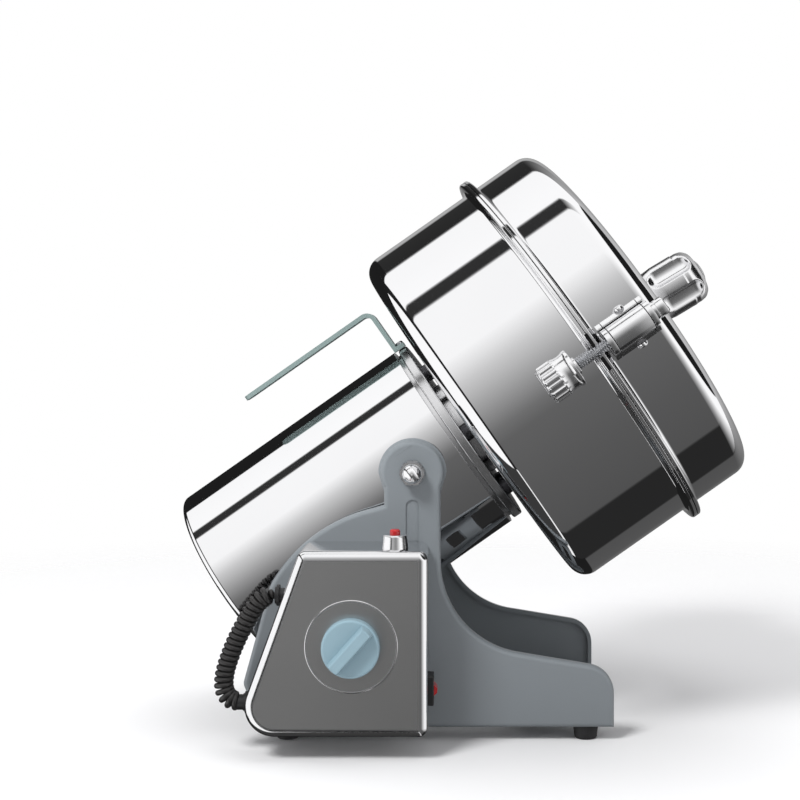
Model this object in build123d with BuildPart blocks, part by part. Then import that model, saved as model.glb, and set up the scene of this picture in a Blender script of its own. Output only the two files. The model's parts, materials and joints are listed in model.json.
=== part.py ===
from build123d import *
import math
import os

# Swing-type electric grain mill: a motor and a lidded grinding bowl hang as one unit
# between two pressed side plates, and tilt about a pivot to pour the ground grain out.
# Millimetres. +X is the pouring side, -Y is the side with the control box, +Z is up.

os.makedirs("parts", exist_ok=True)

# ---------------------------------------------------------------- fits and gaps
running_fit = 0.06  # radial, round a shaft or a pin
seat_gap = 0.3  # between curved faces that lie side by side
plate_gap = 0.2  # between flat faces of pieces that move apart
bolt_clearance = 0.25  # radial, round a screw's shank
seam = 0.1  # between pieces of one body
cut_margin = 1.0  # how far a cut runs past the faces it goes through

# ---------------------------------------------------------------- stance
rest_elevation = 35.0  # the mill's axis above the horizontal, in degrees
pivot_height = 160.0

# ---------------------------------------------------------------- motor casing
casing_radius = 66.0
casing_wall = 1.2
casing_rear = -137.0  # distances along the mill's axis are taken from the pivot
casing_front = 29.5
casing_rim_radius = 5.0
casing_lip = 8.0
rear_cap_thickness = 2.0
vent_rings = ((24.0, 10), (38.0, 14), (51.0, 18))  # radius and number of slots
vent_length = 9.0
vent_width = 3.4

# ---------------------------------------------------------------- front flange
flange_band_radius = 65.5
flange_band_rear = 32.0
flange_band_front = 38.0
flange_groove_radius = 62.6
flange_spigot_length = 8.0
flange_neck_radius = 33.0
flange_hub_radius = 20.0
flange_step = 4.0
flange_band_edge = 1.0
flange_shaft_gap = 0.8
flange_seal_bore = 13.0
flange_seal_depth = 2.0
bolt_circle = 50.0
bolt_turn = 30.0
bowl_bolt_radius = 2.5
bowl_bolts_count = 6
bowl_bolt_inset = 0.5
bowl_bolt_head_radius = 4.6
bowl_bolt_head_height = 2.6
bowl_bolt_head_edge = 1.4
bowl_spacer_radius = 5.5

# ---------------------------------------------------------------- grinding bowl and lid
bowl_radius = 122.4
bowl_wall = 1.5
bowl_floor = 43.6
bowl_corner_radius = 11.5
rim_width = 7.7  # how far the rims of bowl and lid stand out
rim_thickness = 2.6
rim_edge_radius = 1.2
rim_root_radius = 2.6
rim_level = 127.5  # where the bowl's rim ends
lid_gap = 0.4
lid_depth = 46.5
lid_corner_radius = 10.5
seal_width = 6.0
seal_thickness = 3.0
shaft_seal_neck = 12.0
shaft_seal_gap = 0.4  # radial, in the bowl's floor
shaft_seal_flange = 16.0
shaft_seal_flange_thickness = 2.0
shaft_seal_nose = 11.0
shaft_seal_height = 5.5

# ---------------------------------------------------------------- lid clamps
clamp_gap = 4.9  # from the rims to a clamp rod's axis
rod_radius = 2.7
rod_start = 95.0
rod_chamfer = 0.5
rod_head_edge = 0.8
rod_socket_radius = 2.9
rod_socket_depth = 4.0
barrel_radius = 8.5
barrel_start = 133.9
barrel_length = 30.3
barrel_groove_width = 0.5
barrel_groove_depth = 0.4
barrel_low_groove = 3.2  # from the barrel's lower end
barrel_high_groove = 3.6  # from its upper end
bracket_half_width = 11.5
bracket_block_start = 137.0
bracket_seat = 3.0
bracket_foot = 4.6
bracket_neck_half_width = 5.6
bracket_neck_reach = 6.4
bracket_screw_level = 2.6
bracket_screw_radius = 2.4
bracket_screw_height = 2.2
bracket_screw_edge = 1.5
rod_head_radius = 5.3
rod_head_height = 8.0
lug_half_width = 12.0
lug_reach = 9.5
lug_slot_fit = 0.5
lug_inset = 0.2  # from the faces of the rim
nut_radius = 11.35
nut_start = 92.0
nut_length = 18.0
nut_collar_radius = 9.75
nut_collar_length = 3.6
nut_flutes = 18
nut_flute_radius = 1.1
nut_flute_offset = 0.25
nut_flute_end = 1.5
nut_low_edge = 1.6
nut_high_edge = 0.8
nut_collar_edge = 0.6

# ---------------------------------------------------------------- star knob on the lid
star_radius = 18.5
star_start = 185.5
star_length = 31.5
star_lobes = 6
star_flute_radius = 6.6
star_flute_depth = 3.6
star_crown_radius = 8.6
star_crown_height = 2.6
star_neck_radius = 9.0
star_stud_radius = 4.0
star_neck_length = 9.5
star_edge = 1.0
star_shoulder_radius = 6.0
star_crown_step = 0.8
star_flute_low = 4.0  # where a flute starts, from the knob's back
star_flute_high = 3.5  # where it ends, from the knob's front
star_nut_radius = 7.2
star_nut_height = 5.2
star_washer_width = 3.0

# ---------------------------------------------------------------- tilting handle
handle_width = 18.0
handle_thickness = 2.8
handle_height = 98.0  # from the mill's axis to its outer face
handle_bend_radius = 7.0
handle_end = -66.0
handle_leg_front = 32.6
handle_corner_radius = 5.0
handle_screw_offset = 5.0
handle_screw_radius = 1.5
handle_screw_head_radius = 2.4
handle_screw_head_height = 1.8
handle_screw_head_edge = 0.9

# ---------------------------------------------------------------- side plates
plate_outer = 73.7  # from the middle plane to a plate's outer face
plate_thickness = 2.5
plate_depth = 6.0  # over the turned-in edge
plate_edge_radius = 2.8
plate_bottom = 8.2
plate_waist_end = 107.0  # where the waist starts to sweep out to the foot
plate_sweep_end = (61.7, 52.6)
plate_heel = -90.0
plate_rear_corner = (-101.0, 34.0)
plate_rear_top = (-85.0, 92.0)
plate_hump_middle = (-58.0, 123.0)
plate_hump_end = (-24.0, 138.4)
plate_shoulder = 140.5
plate_rear_rounding = 6.0
groove_middle = 128.0  # the pressed groove below the pivot
groove_length = 32.0
groove_width = 7.8
groove_depth = 0.9
plate_front = 120.3
plate_foot_top = 42.9
plate_foot_radius = 17.0
plate_neck_half_width = 16.9
ear_radius = 19.0
foot_flange_width = 20.0
cross_plate_gauge = 2.4
cross_plate_length = 42.0
front_cross_centre = 86.0
rear_cross_centre = -66.0
rear_lip_height = 20.0
rear_lip_width = 60.0
cross_slot_length = 70.0
cross_slot_width = 14.0
cross_corner_radius = 3.0

# ---------------------------------------------------------------- pivot
stud_radius = 4.0
boss_radius = 11.0
boss_seat = 3.0  # cut to the casing's curve
stud_head_radius = 7.0
stud_head_height = 4.8
stud_head_seat = 1.2
stud_end = 7.0  # beyond a plate's outer face
washer_radius = 7.6
washer_thickness = 1.4
washer_teeth_count = 12
washer_tooth_radius = 0.7
nut_across_flats = 13.0
nut_height = 6.0
nut_dome_radius = 5.9

# ---------------------------------------------------------------- feet
foot_top_radius = 7.7
foot_bottom_radius = 6.6
foot_offset = 64.0
front_foot = 104.0
rear_foot = -75.0
foot_screw_radius = 2.0
foot_edge_radius = 1.4
foot_pocket_radius = 4.4
foot_pocket_depth = 3.2
foot_screw_head_radius = 3.8
foot_screw_head_height = 2.2
foot_screw_end = 3.6  # how far the screws stand out above the cross plates
foot_nut_radius = 4.0
foot_nut_height = 3.0

# ---------------------------------------------------------------- control box
box_front = 116.0
box_wall = 1.6
box_right = 10.0
box_bottom = 13.8
box_top = 119.3
box_top_left = -63.0
box_bottom_left = -101.4
box_corner_radius = 5.2
box_low_corner_radius = 17.0
box_edge_radius = 4.8
panel_margin = 5.4
panel_thickness = 1.2
dial_x = -33.2
dial_z = 65.7
dial_disc_radius = 26.0
dial_disc_rise = 0.6
dial_bore = 1.5  # radial, round the timer shaft
knob_gap = 0.3
knob_radius = 16.5
knob_base_height = 7.0
knob_grip_width = 7.4
knob_grip_height = 8.5
timer_shaft_radius = 3.0
timer_size = 36.0
timer_depth = 22.0
timer_shaft_length = 10.0  # inside the timer's body
tab_length = 7.0  # flat connecting tabs on timer, breaker and switch
tab_width = 6.0
tab_thickness = 0.8
timer_tab_spacing = 18.0
breaker_tab_spacing = 7.0
switch_tab_spacing = 10.0
reset_x = -9.0
reset_y = -101.5
reset_base_radius = 7.9
reset_top_radius = 7.0
reset_height = 8.0
reset_button_radius = 3.0
reset_button_rise = 3.0
reset_travel = 2.0
breaker_size = 13.0
breaker_depth = 27.0
breaker_collar_radius = 6.2
reset_stem_gap = 1.2  # radial, round the button's stem in the box's wall
reset_edge_radius = 1.2
button_edge_radius = 1.4
rocker_z = 37.0
rocker_y = -95.0
rocker_frame_height = 17.4
rocker_frame_width = 13.0
rocker_frame_rise = 3.3
rocker_height = 12.6
rocker_width = 8.4
rocker_rise = 2.0
rocker_tilt = 8.0
rocker_depth = 16.0
rocker_bezel = 1.2  # how far the frame's rim stands out round its case
rocker_frame_edge = 0.8
rocker_pocket_depth = 5.5
rocker_end_drop = 3.0  # from the frame's face to the rocker's ends
rocker_crest_half = 1.2
rocker_back = -1.0
rocker_back_cut = 0.9
rocker_side_gap = 0.2
rocker_end_gap = 0.3
rocker_pin_radius = 1.2
rocker_pin_depth = 0.6  # how far the pin lies outside the box's wall
knob_edge_radius = 1.6
knob_grip_draft = 1.2
knob_grip_end = 0.8  # from the knob's edge to the grip's end
knob_grip_turn = 48.0
knob_face_thickness = 1.0
block_middle = (-50.0, 27.0)
block_size = (36.0, 12.0)
block_height = 11.0
block_wells = 4
block_well_spacing = 8.0
block_well_radius = 2.2
block_well_depth = 5.0
box_screw_places = [(0, 26), (0, 110), (-58, 110), (-70, 24)]
box_screw_radius = 3.2
box_screw_height = 2.2
box_screw_edge = 1.2

# ---------------------------------------------------------------- curly cord
cord_radius = 5.9
cord_y = -95.0
gland_neck_radius = 4.2
gland_flange_radius = 6.2
gland_end_radius = 5.0
gland_depth = 10.0  # inside the box
gland_flange_thickness = 1.5
gland_sleeve_length = 1.0
mains_gland_bore = 3.2
mains_hex_radius = 8.0
mains_nut_radius = 7.5
mains_hex_thickness = 3.0
mains_gland_end = 10.0  # how far the gland stands out of its plate
mains_gland_radius = 5.5

# ---------------------------------------------------------------- motor
shaft_radius = 6.0
shaft_rear = -121.0
shaft_front = 68.6
bearing_radius = 14.0
bearing_width = 11.0
bearing_shield_inset = 0.8
bearing_inner_ring = 2.0
bearing_outer_ring = 2.5
front_bearing_rear = 20.0
rear_bell_rear = -112.0
rear_bell_thickness = 5.0
rear_bell_seat = 3.0
bell_windows_count = 6
bell_window_inner = 28.0
bell_window_outer = 56.0
bell_window_half_angle = 20.0
stator_rear = -72.0
stator_front = -12.0
stator_bore = 32.0
stator_flat_width = 40.0  # flats that let the cooling air past
stator_flat_depth = 6.0
slot_play = 0.6  # degrees each side of a coil
air_gap = 0.8
coil_inner = 37.0
coil_outer = 50.0
coil_half_angle = 60.0
pole_half_angle = 42.0
coil_overhang = 8.0
pole_margin = 1.0
armature_slots = 12
armature_slot_depth = 1.5
armature_slot_width = 2.4
winding_length = 7.0
winding_inset = 5.0
commutator_radius = 17.0
commutator_rear = -99.0
commutator_length = 16.0
commutator_bars_count = 16
commutator_slot_depth = 0.6
commutator_slot_width = 0.7
commutator_riser_rise = 1.4
commutator_riser_length = 2.0
brush_width = 8.0
brush_reach = 20.0
brush_inset = 3.0
brush_length = 10.0
holder_wall = 3.0
holder_reach = 22.0
holder_gap = 4.0  # from the commutator
fan_radius = 50.0
fan_rear = 2.0
fan_width = 10.0
fan_blades = 9
fan_hub_radius = 13.0
fan_disc_thickness = 1.5
fan_vane_thickness = 1.6
fan_vane_turn = 24.0
shaft_chamfer = 0.8
lower_blade_radius = 96.0
lower_blade_turn = 20.0
upper_blade_radius = 72.0
blade_thickness = 3.0
blade_width = 20.0
lower_blade_start = 52.6
blade_spacing = 6.0
blade_tip_share = 0.3  # of the blade's width
blade_eye_share = 0.7
blade_sweep = 4.0
blade_tip_cut = 7.0
blade_edge_rise = 1.2
blade_edge_width = 3.0
blade_spacer_radius = 11.0
blade_seal_gap = 0.4
blade_nut_radius = 10.5
blade_nut_height = 7.0
blade_nut_dome = 8.6

# ================================================================ worked-out places
tilt = math.radians(rest_elevation)
rim_radius = bowl_radius + rim_width
clamp_offset = rim_radius + clamp_gap
lid_front = rim_level + lid_depth
lid_start = rim_level + lid_gap
rightmost = (
    (lid_front - lid_corner_radius) * math.cos(tilt)
    + (bowl_radius - lid_corner_radius) * math.sin(tilt)
    + lid_corner_radius
)
leftmost = (
    (casing_rear + casing_rim_radius) * math.cos(tilt)
    - (casing_radius - casing_rim_radius) * math.sin(tilt)
    - casing_rim_radius
)
pivot_x = -(rightmost + leftmost) / 2
pivot = Vector(pivot_x, 0, pivot_height)
mill_dir = Vector(math.cos(tilt), 0, math.sin(tilt))
rise_dir = Vector(-math.sin(tilt), 0, math.cos(tilt))
casing_inner = casing_radius - casing_wall
plate_inner = plate_outer - plate_thickness
box_inner_front = box_front - panel_thickness - box_wall
sides = (-1, 1)


def mill_point(axial, rise=0.0, side=0.0):
    """A point given along the mill's axis, square to it and across the machine."""
    return pivot + mill_dir * axial + rise_dir * rise + Vector(0, side, 0)


def mill_axis(side=0.0):
    """The mill's axis, or a line beside it through a clamp rod."""
    return Axis(mill_point(0, 0, side), mill_dir)


def across(axial, side=0.0):
    """Plane square to the mill's axis: x rises square to it, y points at -Y."""
    return Plane(origin=mill_point(axial, 0, side), x_dir=rise_dir, z_dir=mill_dir)


def along(side=0.0):
    """Plane of a turned profile: x is the radius, y the distance along the axis."""
    return Plane(origin=mill_point(0, 0, side), x_dir=rise_dir, z_dir=(0, 1, 0))


def front_plane(depth):
    """Upright plane that faces -Y, with x measured from the pivot and y from the floor."""
    return Plane(origin=(pivot_x, -depth, 0), x_dir=(1, 0, 0), z_dir=(0, -1, 0))


def floor_plane(height):
    """Level plane, with x measured from the pivot."""
    return Plane(origin=(pivot_x, 0, height), x_dir=(1, 0, 0), z_dir=(0, 0, 1))


def outline(plane, *points):
    """A closed outline with straight sides."""
    with BuildSketch(plane) as drawn:
        with BuildLine():
            Polyline(*points, close=True)
        make_face()
    return drawn.sketch


def tube(inner, outer, start, end, side=0.0):
    """The half section of a plain ring or, with no inner radius, of a disc."""
    return outline(
        along(side), (inner, start), (outer, start), (outer, end), (inner, end)
    )


def sector(plane, inner, outer, half_angle, middle):
    """A piece of a flat ring, as wide as twice the half angle."""
    with BuildSketch(plane) as drawn:
        with BuildLine():
            big = CenterArc((0, 0), outer, middle - half_angle, 2 * half_angle)
            small = CenterArc((0, 0), inner, middle - half_angle, 2 * half_angle)
            Line(big @ 0, small @ 0)
            Line(big @ 1, small @ 1)
        make_face()
    return drawn.sketch


def save(piece, label):
    """Labels a finished piece and writes its file."""
    piece.part.label = label
    export_step(piece.part, f"parts/{label}.step")


# ================================================================ frame
def plate_outline():
    """A side plate: ear, waist, hump over the motor and long foot towards the bowl."""
    with BuildSketch() as drawn:
        with BuildLine():
            waist = Line(
                (plate_neck_half_width, pivot_height), (plate_neck_half_width, plate_waist_end)
            )
            sweep = TangentArc(waist @ 1, plate_sweep_end, tangent=(0, -1))
            foot = Polyline(
                sweep @ 1, (plate_front, plate_foot_top), (plate_front, plate_bottom)
            )
            rear = Polyline(
                foot @ 1, (plate_heel, plate_bottom), plate_rear_corner, plate_rear_top
            )
            hump = ThreePointArc(rear @ 1, plate_hump_middle, plate_hump_end)
            Polyline(
                hump @ 1,
                (-plate_neck_half_width, plate_shoulder),
                (-plate_neck_half_width, pivot_height),
                waist @ 0,
            )
        make_face()
        foot_corner = drawn.vertices().group_by(Axis.X)[-1].sort_by(Axis.Y)[-1]
        fillet(foot_corner, plate_foot_radius)
        fillet(drawn.vertices().group_by(Axis.X)[0], plate_rear_rounding)
        with Locations((0, pivot_height)):
            Circle(ear_radius)
    return drawn.sketch


with BuildPart() as near_side_plate:
    with BuildSketch(front_plane(plate_outer)) as plate_face:
        add(plate_outline())
    extrude(amount=-plate_depth)
    rim_edges = near_side_plate.faces().sort_by(Axis.Y)[0].edges()
    fillet(rim_edges, plate_edge_radius)
    with BuildSketch(front_plane(plate_inner)) as pressing:
        add(plate_outline())
        offset(amount=-plate_thickness, kind=Kind.INTERSECTION, mode=Mode.REPLACE)
    extrude(amount=-plate_depth, mode=Mode.SUBTRACT)
    # turned-in foot flange
    flange_sketch = outline(
        floor_plane(plate_bottom),
        (plate_heel + plate_depth, -plate_inner),
        (plate_front - plate_edge_radius, -plate_inner),
        (plate_front - plate_edge_radius, -plate_outer + foot_flange_width),
        (plate_heel + plate_depth, -plate_outer + foot_flange_width),
    )
    extrude(flange_sketch, amount=plate_thickness)
    with BuildSketch(front_plane(plate_outer)) as pivot_hole:
        with Locations((0, pivot_height)):
            Circle(stud_radius + bolt_clearance)
    extrude(amount=-plate_depth, mode=Mode.SUBTRACT)
    with BuildSketch(floor_plane(plate_bottom)) as foot_holes:
        with Locations((front_foot, -foot_offset), (rear_foot, -foot_offset)):
            Circle(foot_screw_radius + bolt_clearance)
    extrude(amount=plate_thickness, mode=Mode.SUBTRACT)

with BuildPart() as far_side_plate:
    mirror(near_side_plate.part, about=Plane.XZ)

save(far_side_plate, "far_side_plate")
with near_side_plate:
    with BuildSketch(front_plane(plate_outer)) as groove:
        with Locations((0, groove_middle)):
            SlotOverall(groove_length, groove_width, rotation=90)
    extrude(amount=-groove_depth, mode=Mode.SUBTRACT)
save(near_side_plate, "near_side_plate")

cross_plate_level = plate_bottom + plate_thickness
cross_half_width = plate_inner - plate_gap
mains_gland_z = cross_plate_level + rear_lip_height / 2 + 1
for label, centre, foot, lipped in (
    ("front_cross_plate", front_cross_centre, front_foot, False),
    ("rear_cross_plate", rear_cross_centre, rear_foot, True),
):
    with BuildPart() as cross_plate:
        with BuildSketch(floor_plane(cross_plate_level)) as sheet:
            with Locations((centre, 0)):
                RectangleRounded(cross_plate_length, 2 * cross_half_width, cross_corner_radius)
                SlotOverall(cross_slot_length, cross_slot_width, rotation=90, mode=Mode.SUBTRACT)
            with Locations((foot, foot_offset), (foot, -foot_offset)):
                Circle(foot_screw_radius + bolt_clearance, mode=Mode.SUBTRACT)
        extrude(amount=cross_plate_gauge)
        if lipped:
            # upturned lip that carries the mains gland
            lip_x = centre - cross_plate_length / 2
            with BuildSketch(
                Plane(
                    origin=(pivot_x + lip_x, 0, cross_plate_level),
                    x_dir=(0, 1, 0),
                    z_dir=(1, 0, 0),
                )
            ) as lip:
                with Locations((0, rear_lip_height / 2)):
                    Rectangle(rear_lip_width, rear_lip_height)
                with Locations((0, mains_gland_z - cross_plate_level)):
                    Circle(mains_gland_radius, mode=Mode.SUBTRACT)
            extrude(amount=cross_plate_gauge)
    save(cross_plate, label)

foot_places = [(x, y * foot_offset) for x in (front_foot, rear_foot) for y in sides]
foot_screw_top = cross_plate_level + cross_plate_gauge
foot_taper = math.degrees(math.atan((foot_top_radius - foot_bottom_radius) / plate_bottom))
with BuildPart() as rubber_feet:
    with BuildSketch(floor_plane(plate_bottom)) as foot_seat:
        with Locations(*foot_places):
            Circle(foot_top_radius)
    extrude(amount=-plate_bottom, taper=foot_taper)
    fillet(rubber_feet.edges().group_by(Axis.Z)[0], foot_edge_radius)
    with BuildSketch(floor_plane(0)) as foot_bore:
        with Locations(*foot_places):
            Circle(foot_screw_radius + bolt_clearance)
    extrude(amount=plate_bottom, mode=Mode.SUBTRACT)
    with BuildSketch(floor_plane(0)) as head_pocket:
        with Locations(*foot_places):
            Circle(foot_pocket_radius)
    extrude(amount=foot_pocket_depth, mode=Mode.SUBTRACT)
save(rubber_feet, "rubber_feet")

with BuildPart() as foot_screws:
    with BuildSketch(floor_plane(foot_pocket_depth)) as shank:
        with Locations(*foot_places):
            Circle(foot_screw_radius)
    extrude(amount=foot_screw_top + foot_screw_end - foot_pocket_depth)
    with BuildSketch(floor_plane(foot_pocket_depth)) as screw_head:
        with Locations(*foot_places):
            Circle(foot_screw_head_radius)
    extrude(amount=-foot_screw_head_height)
    with BuildSketch(floor_plane(foot_screw_top)) as lock_nut:
        with Locations(*foot_places):
            RegularPolygon(foot_nut_radius, 6)
    extrude(amount=foot_nut_height)
save(foot_screws, "foot_screws")

# ================================================================ control box
def box_outline():
    """The control box from the front: upright on the right, slanted on the left."""
    with BuildSketch() as drawn:
        with BuildLine():
            Polyline(
                (box_right, box_bottom),
                (box_right, box_top),
                (box_top_left, box_top),
                (box_bottom_left, box_bottom),
                close=True,
            )
        make_face()
        fillet(drawn.vertices().group_by(Axis.X)[0], box_low_corner_radius)
        sharp = [
            corner
            for corner in drawn.vertices()
            if corner.Y > box_top - 1 or corner.X > box_right - 1
        ]
        fillet(sharp, box_corner_radius)
    return drawn.sketch


slant = (box_top_left - box_bottom_left) / (box_top - box_bottom)
lower_gland_z = 29.2
upper_gland_z = 91.1
lower_cord_start = -97.0
upper_cord_end = -78.6


def slant_x(height):
    """Where the slanted side stands at a height."""
    return box_bottom_left + slant * (height - box_bottom)


def facing_left(x, height, depth=-cord_y):
    """Plane square to X that faces the slanted side's way."""
    return Plane(origin=(pivot_x + x, -depth, height), x_dir=(0, -1, 0), z_dir=(-1, 0, 0))


def facing_right(x, height, depth):
    """Plane square to X that faces +X, with y up."""
    return Plane(origin=(pivot_x + x, -depth, height), x_dir=(0, 1, 0), z_dir=(1, 0, 0))


reset_plane = Plane(origin=(pivot_x + reset_x, reset_y, box_top), z_dir=(0, 0, 1))
dial_centre = (dial_x, dial_z)
rocker_case_width = rocker_frame_width - 2 * rocker_bezel
rocker_case_height = rocker_frame_height - 2 * rocker_bezel

with BuildPart() as control_box:
    with BuildSketch(front_plane(plate_outer)) as box_face:
        add(box_outline())
    extrude(amount=box_front - plate_outer)
    fillet(control_box.faces().sort_by(Axis.Y)[0].edges(), box_edge_radius)
    with BuildSketch(front_plane(plate_outer)) as cavity:
        add(box_outline())
        offset(amount=-box_wall, mode=Mode.REPLACE)
    extrude(amount=box_inner_front - plate_outer, mode=Mode.SUBTRACT)
    with BuildSketch(front_plane(box_front)) as recess:
        add(box_outline())
        offset(amount=-panel_margin, mode=Mode.REPLACE)
    extrude(amount=-panel_thickness, mode=Mode.SUBTRACT)
    with BuildSketch(front_plane(box_front)) as dial_hole:
        with Locations(dial_centre):
            Circle(timer_shaft_radius + dial_bore)
    extrude(amount=-box_wall - panel_thickness, mode=Mode.SUBTRACT)
    with BuildSketch(reset_plane) as reset_hole:
        Circle(reset_button_radius + reset_stem_gap)
    extrude(amount=-box_wall, mode=Mode.SUBTRACT)
    with BuildSketch(facing_right(box_right, rocker_z, -rocker_y)) as rocker_hole:
        Rectangle(rocker_case_width + plate_gap, rocker_case_height + plate_gap)
    extrude(amount=-box_wall, mode=Mode.SUBTRACT)
    for gland_z in (lower_gland_z, upper_gland_z):
        with BuildSketch(facing_left(slant_x(gland_z) + gland_depth, gland_z)) as gland_hole:
            Circle(gland_neck_radius + plate_gap)
        extrude(amount=gland_depth + box_wall, mode=Mode.SUBTRACT)
save(control_box, "control_box")

with BuildPart() as control_panel:
    with BuildSketch(front_plane(box_front - panel_thickness)) as panel_face:
        add(box_outline())
        offset(amount=-panel_margin - seam, mode=Mode.REPLACE)
    extrude(amount=panel_thickness)
    with BuildSketch(front_plane(box_front)) as dial_disc:
        with Locations(dial_centre):
            Circle(dial_disc_radius)
    extrude(amount=dial_disc_rise)
    fillet(control_panel.edges().group_by(Axis.Y)[0], dial_disc_rise / 2)
    with BuildSketch(front_plane(box_front - panel_thickness)) as panel_bore:
        with Locations(dial_centre):
            Circle(timer_shaft_radius + dial_bore)
    extrude(amount=panel_thickness + dial_disc_rise, mode=Mode.SUBTRACT)
save(control_panel, "control_panel")

with BuildPart() as timer_body:
    with BuildSketch(front_plane(box_inner_front)) as timer_case:
        with Locations(dial_centre):
            RectangleRounded(timer_size, timer_size, timer_size / 12)
    extrude(amount=-timer_depth)
    with BuildSketch(front_plane(box_inner_front)) as timer_bore:
        with Locations(dial_centre):
            Circle(timer_shaft_radius + running_fit)
    extrude(amount=-timer_shaft_length, mode=Mode.SUBTRACT)
    with BuildSketch(front_plane(box_inner_front - timer_depth)) as timer_tabs:
        with Locations(dial_centre):
            with GridLocations(timer_tab_spacing, 0, 2, 1):
                Rectangle(tab_thickness, tab_width)
    extrude(amount=-tab_length)
save(timer_body, "timer_body")

knob_back = box_front + dial_disc_rise + knob_gap
with BuildPart() as timer_knob:
    with BuildSketch(front_plane(knob_back)) as knob_disc:
        with Locations(dial_centre):
            Circle(knob_radius)
    extrude(amount=knob_base_height)
    fillet(timer_knob.edges().group_by(Axis.Y)[0], knob_edge_radius)
    grip_start = knob_back + knob_base_height - knob_edge_radius
    for level, inset in ((0, 0), (knob_grip_height, knob_grip_draft)):
        with BuildSketch(front_plane(grip_start + level)) as grip:
            with Locations(dial_centre):
                Circle(knob_radius - knob_grip_end - inset)
                Rectangle(
                    2 * knob_radius,
                    knob_grip_width + knob_grip_draft - 2 * inset,
                    rotation=knob_grip_turn,
                    mode=Mode.INTERSECT,
                )
    loft()
    fillet(timer_knob.edges().group_by(Axis.Y)[0], knob_face_thickness)
    with BuildSketch(front_plane(knob_back)) as knob_bore:
        with Locations(dial_centre):
            Circle(timer_shaft_radius)
    extrude(amount=knob_base_height - knob_face_thickness, mode=Mode.SUBTRACT)
save(timer_knob, "timer_knob")

with BuildPart() as timer_shaft:
    shaft_back = box_inner_front - timer_shaft_length + seat_gap
    with BuildSketch(front_plane(shaft_back)) as spindle:
        with Locations(dial_centre):
            Circle(timer_shaft_radius)
    extrude(amount=knob_back + knob_base_height - knob_face_thickness - shaft_back)
save(timer_shaft, "timer_shaft")

with BuildPart() as reset_collar:
    with BuildSketch(reset_plane) as collar_base:
        Circle(reset_base_radius)
    with BuildSketch(reset_plane.offset(reset_height)) as collar_top:
        Circle(reset_top_radius)
    loft()
    fillet(reset_collar.edges().group_by(Axis.Z)[-1], reset_edge_radius)
    with BuildSketch(reset_plane) as collar_bore:
        Circle(reset_button_radius + running_fit)
    extrude(amount=reset_height, mode=Mode.SUBTRACT)
save(reset_collar, "reset_collar")

with BuildPart() as reset_button:
    with BuildSketch(reset_plane.offset(-box_wall)) as button_stem:
        Circle(reset_button_radius)
    extrude(amount=box_wall + reset_height + reset_button_rise)
    fillet(reset_button.edges().group_by(Axis.Z)[-1], button_edge_radius)
save(reset_button, "reset_button")

breaker_top = box_wall + reset_travel + seat_gap
with BuildPart() as breaker_body:
    with BuildSketch(reset_plane.offset(-breaker_top)) as breaker_case:
        RectangleRounded(breaker_size, breaker_size, breaker_size / 9)
    extrude(amount=-breaker_depth)
    with BuildSketch(reset_plane.offset(-box_wall)) as breaker_collar:
        Circle(breaker_collar_radius)
        Circle(reset_button_radius + reset_stem_gap, mode=Mode.SUBTRACT)
    extrude(amount=box_wall - breaker_top)
    with BuildSketch(reset_plane.offset(-breaker_top - breaker_depth)) as breaker_tabs:
        with GridLocations(breaker_tab_spacing, 0, 2, 1):
            Rectangle(tab_thickness, tab_width)
    extrude(amount=-tab_length)
save(breaker_body, "breaker_body")

rocker_plane = facing_right(box_right, rocker_z, -rocker_y)
rocker_side = Plane(
    origin=(pivot_x + box_right, rocker_y, rocker_z), x_dir=(1, 0, 0), z_dir=(0, -1, 0)
)
pocket_height = rocker_height + 2 * rocker_end_gap
pocket_width = rocker_width + 2 * rocker_side_gap
rocker_pin_reach = (pocket_width + rocker_bezel) / 2
with BuildPart() as rocker_frame:
    with BuildSketch(rocker_plane) as bezel:
        RectangleRounded(rocker_frame_width, rocker_frame_height, rocker_bezel)
    extrude(amount=rocker_frame_rise)
    fillet(rocker_frame.faces().sort_by(Axis.X)[-1].edges(), rocker_frame_edge)
    with BuildSketch(rocker_plane) as switch_case:
        Rectangle(rocker_case_width, rocker_case_height)
    extrude(amount=-rocker_depth)
    with BuildSketch(rocker_plane.offset(rocker_frame_rise)) as switch_pocket:
        Rectangle(pocket_width, pocket_height)
    extrude(amount=-rocker_frame_rise - rocker_pocket_depth, mode=Mode.SUBTRACT)
    with BuildSketch(rocker_side) as pin_bores:
        with Locations((rocker_pin_depth, 0)):
            Circle(rocker_pin_radius + running_fit)
    extrude(amount=rocker_pin_reach + plate_gap, both=True, mode=Mode.SUBTRACT)
    with BuildSketch(rocker_plane.offset(-rocker_depth)) as switch_tabs:
        with GridLocations(0, switch_tab_spacing, 1, 2):
            Rectangle(tab_width, tab_thickness)
    extrude(amount=-tab_length)
save(rocker_frame, "rocker_frame")

with BuildPart() as rocker_button:
    with BuildSketch(rocker_side) as rocker_profile:
        with BuildLine():
            crest = rocker_frame_rise + rocker_rise
            end_level = rocker_frame_rise - rocker_end_drop
            half = rocker_height / 2
            back = Polyline(
                (end_level, half),
                (rocker_back, half - rocker_back_cut),
                (rocker_back, -half + rocker_back_cut),
                (end_level, -half),
            )
            Polyline(
                back @ 1, (crest, -rocker_crest_half), (crest, rocker_crest_half), back @ 0
            )
        make_face()
    extrude(amount=rocker_width / 2, both=True)
    fillet(rocker_button.edges().filter_by(Axis.Y).group_by(Axis.X)[-1], rocker_crest_half)
    with BuildSketch(rocker_side) as rocker_pin:
        with Locations((rocker_pin_depth, 0)):
            Circle(rocker_pin_radius)
    extrude(amount=rocker_pin_reach, both=True)
rocker_pivot = Axis(
    (pivot_x + box_right + rocker_pin_depth, rocker_y, rocker_z), (0, 1, 0)
)
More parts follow.
